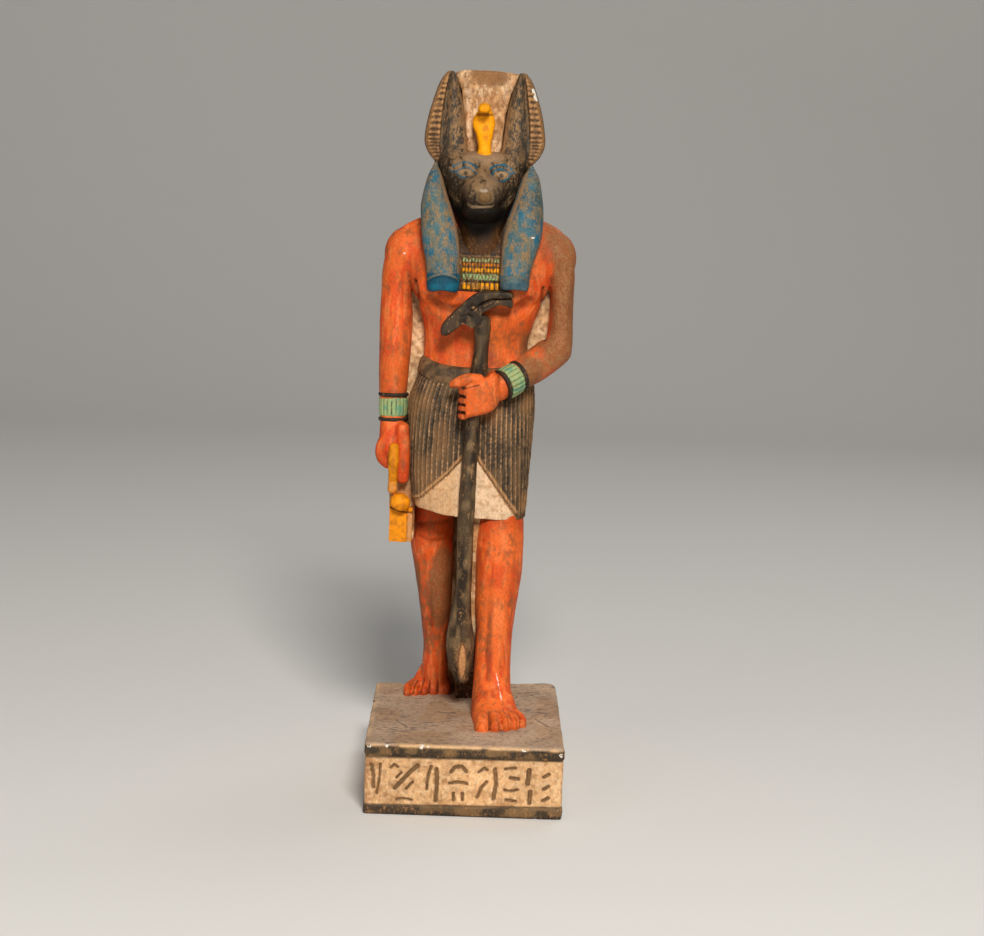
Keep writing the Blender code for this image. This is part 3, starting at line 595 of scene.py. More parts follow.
HAND_BACK = ((-8.6, 206.5), (-7.0, 210.2), (-3.8, 212.6), (2.0, 214.0), (6.0, 215.6), (8.2, 218.0),
             (11.8, 217.6), (13.4, 212.0), (14.4, 203.0), (12.0, 196.4), (7.2, 192.8), (1.0, 191.4),
             (-4.0, 190.4), (-7.6, 190.0),
             (-8.4, 197.0))


def left_arm_forms():
    forms = [
        tube([(47.5, 46, 292, 9.5, 12.5), (50.8, 46, 280, 8.7, 12.4), (52, 46, 266, 7.6, 12),
              (51.9, 46, 252, 7.6, 12),
              (51.6, 44, 238, 8.4, 11.5), (50.6, 42, 231, 8.8, 11)]),
        tube([(49.8, 41, 231, 10.2, 10.5), (42, 34, 225.4, 10.8, 10.5), (33, 26, 219.4, 10.4, 10),
              (24, 18.5, 214.4, 9, 9), (13, 12.5, 208, 8.6, 8.4)], across=(0, 0, 1)),
        cutout(HAND_BACK, -3.8, 30.0, shoulder=4.0, smooth=6, slant=0.36),
        tube([(1, 3.4, 213.0, 4.4, 4), (-6, 3.2, 213.0, 4.4, 4), (-11.6, 4.4, 211.4, 3.7, 3.6),
              (-15.8, 6.4, 209.6, 2.2, 2.6)],
             across=(0, 0, 1), spacing=0.8)]
    for z in (205.6, 200.2, 195.2, 190.6):
        forms.append(tube([(-7.6, 9, z, 2.3, 2.6), (-9.0, 3.4, z, 2.3, 2.8), (-8.0, 0.2, z, 2.2, 2.6)],
                          across=(0, 0, 1),
                          spacing=0.8))
    return forms


def rear_leg_forms():
    forms = [column([
        (140, -39.5, -11, 34, 69), (116, -39.2, -12, 35, 69), (102, -40, -12.5, 36, 69),
        (90, -38, -11.6, 38, 69), (75, -35.2, -12, 38.5, 68), (58, -32.7, -12.3, 41.5, 69),
        (42, -30.4, -13.7, 46, 70),
        (32, -29.4, -14, 48, 71), (18, -30, -13, 49, 72), (SOLE, -31, -12, 50, 74)], power=2.2)]
    forms.append(ball((-26.0, 41.0, 107), (11, 6.6, 8)))
    forms.append(foot([
        (74, -30, -13.4, 16), (67, -33, -12.8, 22), (61, -36, -11.8, 17), (56.5, -38.2, -10.6, 11.5),
        (52, -39.2, -10, 7.4)]))
    return forms + toes([(-14.4, 48.8, 4.5), (-22.2, 47.2, 2.9), (-28.3, 45.3, 2.9), (-34.0, 43.7, 2.7),
                         (-38.8, 42.0, 2.3)], -16.0)


def front_leg_forms():
    forms = [column([
        (140, 4, 31, 15, 50), (126, 2.2, 32.4, 9, 46), (110, 1.8, 33.0, 5.5, 42), (92, 2.2, 32.6, 4, 38),
        (77, 2.8, 31.0, 2.4, 36), (62, 3.6, 29.0, 1, 32), (47, 4.6, 27.6, -0.6, 27), (30, 4.2, 27.2, -3, 23),
        (16, 3.6, 28.0, -6, 22), (SOLE, 3, 29.2, -8, 22)], power=2.2)]
    forms.append(ball((17.6, 11.2, 105), (11.5, 6.6, 8.5)))
    forms.append(foot([
        (24, 6, 26, 12), (15, 3.8, 29, 24), (4, 3.2, 30.6, 25), (-7, 3.4, 32.6, 18.5), (-16, 4, 34.6, 12.4),
        (-24, 4.8, 36.2, 8.4), (-31, 5.4, 35.8, 5.4)]))
    return forms + toes([(10.4, -46.0, 5.2), (18.7, -45.0, 3.4), (25.2, -42.6, 3.1), (30.9, -38.6, 2.8),
                         (35.4, -33, 2.3)], 14.0)


def foot(stations):
    """A foot from upright sections, flat below. A station is (y, left, right, top)."""
    rings = []
    for y, left, right, top in spline(stations, ring_count(stations, [0], 1.2)):
        middle, half = (left + right) / 2, (right - left) / 2
        angle = np.linspace(0, math.pi, 40)
        c, s = np.cos(angle), np.sin(angle)
        ring = [(middle + half * math.copysign(abs(p) ** (2 / 2.4), p), y, top * abs(q) ** (2 / 2.2))
                for p, q in zip(c, s)]
        ring += [(left, y, SOLE), (middle, y, SOLE), (right, y, SOLE)]
        rings.append(ring)
    return skin(rings)


def toes(tips, heading_x):
    forms = []
    for x, y, half in tips:
        back_x = x + (heading_x - x) * 0.3
        forms.append(tube([(back_x, y + 20, 6.2, half * 0.84, 3.6),
                           (x, y + 10, 3.8, half * 0.86, half * 0.7 + 2.0),
                           (x, y + half, 1.6, half * 0.94, half * 0.7 + 1.4)], spacing=0.8, power=2.2))
    return forms


def kilt_rows(count):
    return spline([(217, -36, 34.5, 24.5, 67, 2.5), (210, -38.5, 36.5, 21.5, 67.5, 2.5),
                   (194, -43.8, 37.6, 16.5, 68, 2.5), (172, -43.8, 36.6, 11.5, 69, 2.7),
                   (150, -42, 35.2, 7.5, 69, 3.1),
                   (126, -39, 33.8, 5, 68, 3.6)], count)


APRON_OPENING = ((-3.0, 168.0), (-10.5, 159.6), (-17.5, 151.8), (-26.0, 144.0), (-33.5, 136.8), (-39.0, 133.6),
                 (-39.0, 118.0), (29.0, 118.0), (28.2, 126.6), (21.0, 136.0), (13.0, 147.0), (4.0, 158.8))


def hem_rise(offset):
    """The kilt hangs a little higher at the viewer's left."""
    return -0.05 * offset + 2.4 * ease(-offset, 12, 30)


def inside(outline, x, z):
    """Whether each (x, z) lies in the outline."""
    found = np.zeros(len(x), bool)
    outline = np.array(outline)
    for (x0, z0), (x1, z1) in zip(outline, np.roll(outline, -1, axis=0)):
        crosses = (z0 > z) != (z1 > z)
        at = x0 + (z - z0) * (x1 - x0) / (z1 - z0 if z1 != z0 else 1e-9)
        found ^= crosses & (x < at)
    return found


def kilt_wrap():
    rings = []
    for z, left, right, front, back, power in kilt_rows(80):
        outline = oval((right - left) / 2, (back - front) / 2, 1440, power)
        steps = np.linalg.norm(np.roll(outline, -1, axis=0) - outline, axis=1)
        run = np.concatenate(((0,), np.cumsum(steps)))
        wanted = np.linspace(0, run[-1], PLEATS * PLEAT_STEPS, endpoint=False)
        closed = np.concatenate((outline, outline[:1]))
        u = np.interp(wanted, run, closed[:, 0])
        v = np.interp(wanted, run, closed[:, 1])
        phase = np.arange(len(u)) / PLEAT_STEPS % 1
        fold = PLEAT_DEPTH * (0.5 - 0.5 * np.cos(math.tau * phase)) ** 0.6
        x, y = u + (left + right) / 2, v + (front + back) / 2
        height = z + hem_rise(u) * ease(z, 200, 150) - 0.05 * u * ease(z, 150, 200)
        fold += 4.0 * (inside(APRON_OPENING, x, height) & (y < 45))
        reach = np.hypot(u, v)
        rings.append(np.stack((x - fold * u / reach, y - fold * v / reach, height), axis=1))
    return skin(rings)


def kilt_apron():
    rings = []
    for z, left, right, front, back, power in kilt_rows(60)[8:]:
        shape = oval((right - left) / 2 - 1.7, (back - front) / 2 - 1.7, 240, power)
        rings.append(level_ring(shape, ((left + right) / 2, (front + back) / 2),
                                z + hem_rise(shape[:, 0]) - 0.6))
    return skin(rings)


def kilt_belt():
    rings = []
    for z, grow in ((210.0, -0.6), (210.2, 0.4), (210.9, 1.0), (214, 1.2), (218.4, 0.8), (219.2, 0.1),
                    (219.5, -0.8)):
        shape = oval(37.2 - (z - 208.6) * 0.2 + grow, 23.6 - (z - 208.6) * 0.18 + grow, 240, 2.5)
        rings.append(level_ring(shape, (-1.0, 45.0), z + 0.4 * np.minimum(shape[:, 1], -8.0) + 7.0))
    return skin(rings)


def wristband(start, end, start_radii, end_radii, across, square_to=None):
    """Rims and, apart from them, the beads between. The rims lie square to the limb or another direction."""
    start, end = np.array(start, float), np.array(end, float)
    heading = np.array(square_to, float) if square_to else end - start
    heading /= np.linalg.norm(heading)
    side = np.array(across, float) - heading * np.dot(across, heading)
    side /= np.linalg.norm(side)
    other = np.cross(heading, side)

    def hoop(profile, ribs):
        rings = []
        for along, rise in profile:
            radii = np.array(start_radii) * (1 - along) + np.array(end_radii) * along + rise
            outline = oval(radii[0], radii[1], 240)
            angle = np.arange(240) / 240 * BAND_BEADS % 1
            bulge = 1 + 0.075 * (np.abs(np.sin(math.pi * angle)) ** 0.5 - 1) * ribs
            rings.append(start + (end - start) * along + outline[:, :1] * side * bulge[:, None]
                         + outline[:, 1:] * other * bulge[:, None])
        return skin(rings)

    rims = [hoop([(a, -1.2), (a + 0.01, -0.2), (a + 0.05, 0.15), (b - 0.05, 0.15), (b - 0.01, -0.2), (b, -1.2)],
                 0)
            for a, b in ((0.0, 0.14), (0.86, 1.0))]
    beads = hoop([(0.12, -1.4), (0.18, -1.0), (0.22, -0.35), (0.5, -0.1), (0.78, -0.35), (0.82, -1.0),
                  (0.88, -1.4)], 1)
    return rims, beads


def staff_forms():
    shaft = tube([
        (2.6, 18.5, 249.4, 4.4, 8), (2.0, 18.5, 246, 5.3, 8.6), (1.8, 18.4, 240, 5.0, 8.8),
        (1.7, 18.2, 233, 4.6, 9), (1.2, 17.8, 224, 5.0, 9), (0.5, 17, 212, 5.7, 9), (-2.4, 11.5, 190, 4.8, 8.5),
        (-3.3, 7.6, 162, 4.9, 7.5), (-4, 5.2, 139, 5.2, 7.5), (-4.4, 5.4, 118, 5.2, 7.5),
        (-4.2, 7.4, 92, 5.0, 7.5), (-4.4, 8.6, 76, 5.2, 7.5),
        (-5.4, 9.4, 62, 6.8, 7.6), (-5.2, 10, 45, 9, 8), (-4.4, 11, 32, 8.0, 7.4), (-3.2, 12, 21, 5.0, 6)],
        power=2.2)
    upper = [(-24.4, 243.2), (-23.6, 240.4), (-21.4, 239.4), (-18.6, 240.8), (-13.4, 244.6), (-10.4, 247.0),
             (-7.0, 245.8), (-4.4, 244.8), (-1.0, 247.0), (0.6, 252.0), (-1.4, 258.4), (2.0, 261.6),
             (6.7, 263.4), (13.0, 264.4), (19.4, 264.2), (19.8, 267.2), (13.8, 268.3), (6.6, 268.0),
             (0.6, 267.5), (-3.0, 266.4),
             (-5.9, 264.5), (-8.8, 262.0), (-11.1, 259.5), (-15.2, 255.8), (-19.2, 251.4), (-23.3, 246.5)]
    lower = [(-1.0, 247.0), (-2.0, 252.0), (-1.8, 257.2), (1.8, 260.4), (6.6, 262.6), (13.0, 263.6),
             (19.4, 263.4), (20.4, 261.0), (20.0, 258.2), (17.7, 258.8), (12.9, 259.8), (9.3, 259.0),
             (5.8, 257.2), (2.6, 255.2),
             (1.0, 253.0), (2.0, 249.0)]
    return [shaft, cutout(upper, 11.6, 28.0, shoulder=1.6, smooth=6),
            cutout(lower, 12.8, 28.0, shoulder=1.6, smooth=6),
            tube([(-21.4, 16.4, 242.6, 3.0, 4.4), (-14.0, 16.0, 249.0, 3.6, 5.0),
                  (-7.4, 15.6, 255.0, 4.2, 5.2)],
                 across=(0.7, 0, -0.7)),
            ball((-4.8, 13.0, 258.0), (3.2, 2.4, 2.0)), ball((-7.4, 14.4, 250.6), (3.6, 4.0, 3.2))]


def head_forms():
    skull = column([
        (284, -14.4, 12.4, 27, 60), (291, -14.8, 12.8, 24.6, 60), (298, -14.8, 12.8, 24.2, 60),
        (305, -15.4, 13.2, 24.8, 60), (312, -18.2, 15.4, 25.0, 60), (323, -22.2, 19.2, 23.5, 60),
        (334, -25.6, 23, 22, 60), (342, -28.4, 25, 22.5, 60), (347, -29, 26, 24, 60),
        (350.4, -27.6, 24.6, 26.4, 60), (353.0, -23, 20, 31, 60),
        (354.4, -16, 13, 40, 60)], sides=120, power=2.4, spacing=1.0)
    muzzle = tube([(-1, 36, 329.5, 19, 12.5), (-1, 24, 330.5, 15, 11), (-0.9, 14, 330, 12.2, 10),
                   (-1.1, 5, 328.8, 10.4, 8.8), (-1.5, -3, 327.6, 8.8, 7.2)], sides=96, power=2.1, reach=0.65)
    jaw = tube([(-1.2, 34, 317, 14, 9), (-1.6, 14, 318.6, 10, 6.4), (-1.9, 0, 319.6, 7.4, 3.6)])
    bridge = tube([(-1.2, 24, 342.5, 4.4, 4.0), (-1.0, 14, 338.4, 4.6, 4.0), (-0.8, 4, 334.6, 4.8, 3.6),
                   (-0.6, -4, 331.6, 5.0, 3.2)], power=2.0)
    corners = [ball((-29.0, 50, 345.2), (3.4, 8, 4.2)), ball((26.4, 50, 344.8), (3.4, 8, 4.2))]
    return [skull, muzzle, jaw, bridge, ball((0.2, -7.4, 328.0), (4.6, 3.6, 4.2))] + corners


EYES = (((-12.0, 341.0), (4.9, 2.1)), ((10.3, 340.2), (4.3, 2.2)))
LID_LINES = (
    ((-21.5, 342.1), (-18.9, 341.5), (-16.7, 342.3), (-13.3, 344.5), (-10.1, 344.4), (-7.5, 342.6),
     (-4.9, 341.0)),
    ((-4.9, 341.0), (-7.4, 339.3), (-11.8, 338.2), (-15.0, 338.8), (-17.4, 341.0)),
    ((4.1, 339.6), (5.8, 342.6), (9.1, 344.2), (12.9, 343.3), (15.5, 342.0), (18.9, 342.0)),
    ((4.1, 339.6), (6.8, 337.4), (10.6, 336.6), (14.4, 338.5), (15.8, 341.0)))
BROW_LINES = (((-20.2, 344.8), (-15.3, 347.2), (-12.7, 347.8), (-8.9, 347.0), (-5.0, 344.3)),
              ((2.7, 344.0), (5.2, 345.5), (10.2, 347.0), (14.1, 345.8), (17.0, 343.9)))
LIP_LINE = ((-9.9, 322.4), (-6.6, 321.6), (-1.8, 321.4), (2.4, 321.7), (5.8, 322.4))


def front_of(shapes, places, start=-60.0):
    """The y at which each (x, z) meets the shapes, seen from the front."""
    tree = BVHTree.FromPolygons(*joined(shapes))
    found = []
    for x, z in places:
        hit = tree.ray_cast(Vector((x, start, z)), Vector((0, 1, 0)))
        found.append(hit[0].y if hit[0] else 0.0)
    return found


def ridge(line, half, shapes, rise=0.2):
    """A rounded ridge along an (x, z) line, laid on the shapes."""
    places = spline(line, 26)
    depths = np.array(front_of(shapes, places))
    depths = np.convolve(np.pad(depths, 2, mode="edge"), np.ones(5) / 5, "valid")
    return tube([(x, y + half * 0.6 - rise, z, half, half) for (x, z), y in zip(places, depths)],
                across=(0, 0, 1),
                sides=12, spacing=0.5)


def ear_forms():
    levels = (345, 351, 357, 363, 373, 383, 393, 400, 404.2)
    outer, leaf, inner, depth = (list(zip(levels, row)) for row in (
        (29.0, 34.8, 37.8, 38.4, 37.0, 34.6, 31.4, 28.2, 24.8),
        (25.0, 26.2, 27.2, 27.6, 27.2, 26.2, 24.8, 23.4, 22.4),
        (9.8, 10.3, 11.0, 11.8, 12.8, 14.4, 16.8, 19.0, 20.6),
        (-13.0, -9.0, -5.0, -2.0, 0.0, 0.0, 0.0, 0.0, 0.0)))
    leaves, furs = [], []
    for side in (-1, 1):
        rings = []
        for (z, reach), (_, rim), (_, step) in zip(spline(leaf, 70), spline(inner, 70), spline(depth, 70)):
            width = reach - rim
            front = [(rim + width * t, 44.5 + step * (1 - 0.5 * t**3) - 5.9
                      * math.sin(math.pi * min(1, t * 1.08)) ** 0.75, z)
                     for t in np.linspace(0, 1, 28)]
            rings.append([(rim, 66, z)] + front + [(reach, 66, z)])
        leaves.append(flipped(rings, side))
        rings = []
        steps = EAR_RIBS * RIB_STEPS
        for level, ((z, reach), (_, edge)) in enumerate(zip(spline(outer, steps), spline(leaf, steps))):
            rib = 1.2 * abs(math.cos(math.pi * level / RIB_STEPS)) ** 0.6
            rings.append([(edge - 2.0, 66, z), (edge - 2.0, 44.6, z), (edge + 0.6, 43.6, z),
                          (edge + 1.2, 43.4 - rib, z),
                          (reach - 3.0, 43.8 - rib, z), (reach - 2.2, 43.2, z), (reach - 0.8, 44.4, z),
                          (reach, 50, z),
                          (reach - 2.4, 66, z)])
        furs.append(flipped(rings, side))
    return leaves, furs


def flipped(rings, side):
    rings = np.array(rings)[:, ::side]
    return skin(rings * (side, 1, 1) - (0.7, 0, 0))


def uraeus_forms():
    return [
        tube([(-0.6, 35, 350, 5.6, 6), (-0.7, 36.5, 353, 4.8, 5.6), (-0.7, 38, 356.5, 4.1, 5.2),
              (-0.9, 40.5, 361, 4.6, 4.6), (-1.0, 42.8, 365.6, 5.5, 4.0), (-1.7, 44.8, 371.6, 7.2, 3.6),
              (-1.4, 45, 376.5, 6.2, 4.0),
              (-1.3, 46, 380, 4.0, 4.8)], spacing=0.6, power=2.3),
        tube([(-1.5, 46, 381.8, 3.6, 3.0), (-1.7, 38, 382.0, 3.8, 3.0), (-1.7, 33.6, 381.4, 4.0, 2.9),
              (-1.7, 31.6, 380.8, 3.4, 2.4)], spacing=0.6)]


def wig_forms():
    back = column([
        (351, -22, 20, 47, 68), (346, -28, 26, 45, 71), (338, -31.5, 30, 44, 73), (322, -36, 34, 47, 74),
        (304, -34, 33, 50, 74), (286, -29.5, 28.5, 56, 72), (268, -26, 25, 60, 70)], power=2.4)
    left = [(-31.2, 46, 343.6, 1.6, 9), (-31.3, 43, 337.6, 4.2, 10), (-31.1, 36, 329, 6.9, 11),
            (-30.3, 30, 319.5, 9.4, 11), (-28.4, 26, 310, 10.7, 10.4), (-26.7, 23.6, 300, 11.4, 9.6),
            (-24.9, 21.6, 288.5, 11, 9), (-23.8, 20.3, 276.6, 10.3, 8.6)]
    right = [(29.4, 46, 343.4, 1.8, 9), (29.2, 43, 337.6, 5.0, 10), (28.7, 36, 330, 7.6, 11),
             (27.9, 30, 320, 9.8, 11), (26.4, 26, 311, 11.5, 10.4), (24.6, 23.6, 301.5, 11.8, 9.6),
             (22.7, 21.6, 291, 10.8, 9), (21, 20.3, 278.6, 9.2, 8.6)]
    falls, cuffs = [], []
    for stations in (left, right):
        falls.append(tube(stations, power=2.2, domes=False))
        x, y, z, half_x, half_y = stations[-1]
        rings = []
        for level, grow in ((z + 2.0, 0.92), (z + 1.0, 0.99), (z - 0.4, 1.03), (z - 4.0, 1.02), (z - 7.4, 0.99),
                            (z - 9.6, 0.93), (z - 10.6, 0.80)):
            shape = oval(half_x * grow, half_y * grow, 96, 2.2)
            bow = 1.4 * (1 - (shape[:, 0] / half_x) ** 2)
            rings.append(level_ring(shape, (x, y - (z - level) * 0.05), level + bow))
        cuffs.append(skin(rings))
    return [back], falls, cuffs


# Rows of the collar: height, half a bead's height, number of beads, number of the colour
COLLAR_ROWS = ((287.0, 1.5, 12, 0), (284.2, 1.2, 12, 1), (280.9, 1.4, 12, 2), (276.6, 2.1, 11, 0),
               (271.3, 2.7, 8, 2))
COLLAR_EDGES = (-15.4, 14.2)
COLLAR_BOW = 0.006
BEADS_LEFT, BEADS_WIDTH = -12.2, 23.4


def collar_forms(chest):
    """A thin plate on the breast, and rows of beads on it, each with the number of its colour."""
    levels = np.linspace(290.8, 267.2, 24)
    fronts = np.array(front_of(chest, [(-0.5, z) for z in levels]))
    rings = []
    for z, front in zip(levels, fronts):
        left, right = COLLAR_EDGES
        x = np.linspace(left, right, 24)
        bow = COLLAR_BOW * (x + 0.6) ** 2
        rings.append([(a, front - 0.7 + b, z) for a, b in zip(x, bow)]
                     + [(right, front + 9, z), (left, front + 9, z)])
    beads = []
    for z, half, count, kind in COLLAR_ROWS:
        front = np.interp(z, levels[::-1], fronts[::-1]) - 0.7
        for bead in range(count):
            x = BEADS_LEFT + BEADS_WIDTH * (bead + 0.5) / count
            x += 0.28 * math.sin(7.3 * bead + z)
            lean = 0.5 * half if kind == 0 and half > 2 else 0.25 * math.sin(3.1 * bead + z)
            y = front + COLLAR_BOW * (x + 0.6) ** 2
            wide = 0.36 * BEADS_WIDTH / count
            stations = [(x - lean, y, z + half * 0.8, wide * 0.8, 0.9), (x, y - 0.1, z, wide, 1.1),
                        (x + lean, y, z - half * 0.8, wide * 1.1, 1.1)]
            beads.append((tube(stations, sides=12, spacing=0.5), kind))
    return skin(rings), beads


def main():
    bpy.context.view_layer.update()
    stone = painted_stone()
    make_camera()
    make_room()
    make_plinth(stone)
    make_stone(stone)
    make_body(stone)
    make_kilt(stone)
    make_head(stone)
    make_wig(stone)
    make_staff(stone)
    make_sign(stone)
    make_uraeus(stone)
    make_bands(stone)
    make_collar(stone)


def make_camera():
    forward = Vector((math.sin(CAMERA_YAW) * math.cos(CAMERA_PITCH),
                      math.cos(CAMERA_YAW) * math.cos(CAMERA_PITCH),
                      -math.sin(CAMERA_PITCH)))
    right = Vector((math.cos(CAMERA_YAW), -math.sin(CAMERA_YAW), 0))
    down = forward.cross(right)
    turned_right = math.cos(CAMERA_ROLL) * right + math.sin(CAMERA_ROLL) * down
    turned_down = -math.sin(CAMERA_ROLL) * right + math.cos(CAMERA_ROLL) * down
    camera = bpy.data.cameras.new("camera")
    camera.sensor_fit = "HORIZONTAL"
    camera.sensor_width = SENSOR
    camera.lens = FOCAL_PIXELS / IMAGE_WIDTH * SENSOR
    obj = placed("camera", camera)
    matrix = Matrix((turned_right, -turned_down, -forward)).transposed().to_4x4()
    matrix.translation = Vector(CAMERA_PLACE)
    obj.matrix_world = matrix
    bpy.context.scene.camera = obj
    bpy.context.scene.view_settings.view_transform = "Standard"


def make_room():
    """A plain pale floor that curves up behind, and soft lights."""
    width, front, back, height, bend = 6.0, -3.0, 2.7, 3.5, 1.0
    profile = [(front, 0.0), (back - bend, 0.0)]
    for angle in np.radians(np.linspace(0, 90, 17)[1:]):
        profile.append((back - bend + bend * math.sin(angle), bend - bend * math.cos(angle)))
    profile.append((back, height))
    points = [(x, y, z) for y, z in profile for x in (-width, width)]
    faces = [(2 * i, 2 * i + 1, 2 * i + 3, 2 * i + 2) for i in range(len(profile) - 1)]
    mesh = bpy.data.meshes.new("floor")
    mesh.from_pydata(points, [], faces)
    mesh.shade_smooth()
    floor = placed("floor", mesh)
    material = bpy.data.materials.new("floor")
    material.use_nodes = True
    shader = material.node_tree.nodes["Principled BSDF"]
    shader.inputs["Base Color"].default_value = FLOOR_COLOUR
    shader.inputs["Roughness"].default_value = FLOOR_ROUGHNESS
    shader.inputs["Specular IOR Level"].default_value = FLOOR_SHEEN
    mesh.materials.append(material)
    for name, place, size, power, colour in LIGHTS:
        light = bpy.data.lights.new(name, "AREA")
        light.shape = "SQUARE"
        light.size = size
        light.energy = power
        light.color = colour
        obj = placed(name, light)
        obj.location = place
        obj.rotation_euler = (Vector(LIT_POINT) - Vector(place)).to_track_quat("-Z", "Y").to_euler()
    world = bpy.data.worlds.new("studio")
    world.use_nodes = True
    back = world.node_tree.nodes["Background"]
    back.inputs["Color"].default_value = (1.0, 0.98, 0.95, 1)
    back.inputs["Strength"].default_value = SKY
    bpy.context.scene.world = world


# Pieces


def make_plinth(stone):
    half_x, half_y = PLINTH_WIDTH / SHARE / 2, PLINTH_DEPTH / SHARE / 2
    base = -PLINTH_HEIGHT / SHARE
    levels = ((base, 1.2), (base + 0.8, 0.4), (base + 2.0, 0.0), (base + 5.8, 0.0), (base + 6.4, 1.0),
              (base + 7.0, 1.0),
              (base + 7.3, 0.5), (-8.6, 0.5), (-8.3, 1.2), (-7.6, 1.2), (-7.0, 0.2), (-6.2, 0.0), (-2.0, 0.0),
              (-0.9, 0.4), (-0.3, 1.0), (0.0, 2.2))
    rings = []
    for z, inset in levels:
        ring = []
        for sx, sy, start, radius in ((1, 1, 0, 9.0), (-1, 1, 90, 2.5), (-1, -1, 180, 2.5), (1, -1, 270, 2.8)):
            for angle in np.radians(np.linspace(start, start + 90, 12)):
                ring.append((sx * (half_x - radius) + (radius - inset) * math.cos(angle),
                             sy * (half_y - radius) + (radius - inset) * math.sin(angle), z))
        rings.append(ring)
    clay = melt([skin(rings)], 0.62)
    p = clay.points
    right, rear = (p[:, 0] + half_x) / (2 * half_x), (p[:, 1] + half_y) / (2 * half_y)
    up = np.clip((p[:, 2] - base) / -base, 0, 1)
    p[:, 0] -= 1.4 * right * rear
    p[:, 2] += up**3 * (3.4 * ease(right, 0.35, 1.0) * ease(rear, 0.15, 1.0) + 0.6 * right * (1 - rear))
    band = np.exp(-(((p[:, 2] - base - 6.6) / 5.0) ** 2))
    p[:, 2] += band * 0.9 * (2 * right - 1) * (p[:, 2] > base + 1)
    clay.relax(2)
    below = ease(p[:, 2], base + 1.5, base + 0.3)
    clay.roughen(0.10, 0.25, 0.45, weight=1 - below)
    paint_plinth(clay, stone, base, half_x, half_y)


# Made-up strokes on the panel: (x, share of the height) points, and half a width. No two of them meet.
MARKS = (
    (((-56.0, 0.90), (-54.6, 0.66), (-54.4, 0.34)), 1.0), (((-50.6, 0.92), (-50.8, 0.60), (-52.2, 0.20)), 0.8),
    (((-44.2, 0.84), (-42.2, 0.92), (-40.0, 0.86)), 0.8),
    (((-41.4, 0.34), (-36.6, 0.56), (-31.2, 0.80), (-28.0, 0.90)), 1.25), (((-40.6, 0.60), (-37.8, 0.72)), 0.8),
    (((-34.4, 0.34), (-30.8, 0.50)), 0.9), (((-40.4, 0.07), (-35.6, 0.09), (-31.0, 0.06)), 0.8),
    (((-22.2, 0.34), (-21.6, 0.66), (-19.8, 0.90)), 0.9), (((-16.6, 0.84), (-16.0, 0.44), (-16.6, 0.06)), 1.2),
    (((-7.8, 0.78), (-5.4, 0.90), (-1.4, 0.92), (1.6, 0.80)), 1.1),
    (((-8.2, 0.50), (-3.0, 0.54), (2.2, 0.50)), 1.0), (((-6.0, 0.26), (-5.6, 0.10)), 1.0),
    (((-0.6, 0.26), (-0.2, 0.10)), 1.0), (((9.0, 0.80), (12.2, 0.90), (14.0, 0.86)), 0.9),
    (((8.6, 0.18), (10.8, 0.42), (14.0, 0.56)), 1.0), (((18.8, 0.88), (19.8, 0.52), (18.4, 0.16)), 1.2),
    (((25.0, 0.90), (31.0, 0.92)), 0.9), (((28.2, 0.68), (33.0, 0.66)), 1.1),
    (((24.8, 0.38), (29.0, 0.36), (33.0, 0.40)), 0.8), (((26.0, 0.14), (31.8, 0.12)), 0.9),
    (((39.6, 0.88), (38.8, 0.56)), 1.4), (((40.6, 0.36), (40.2, 0.08)), 1.3),
) + tuple((((48.4, t - 0.03), (51.4, t + 0.04)), 1.1) for t in (0.76, 0.46, 0.18))
MARKS_LOW, MARKS_TALL = -36.0, 25.4


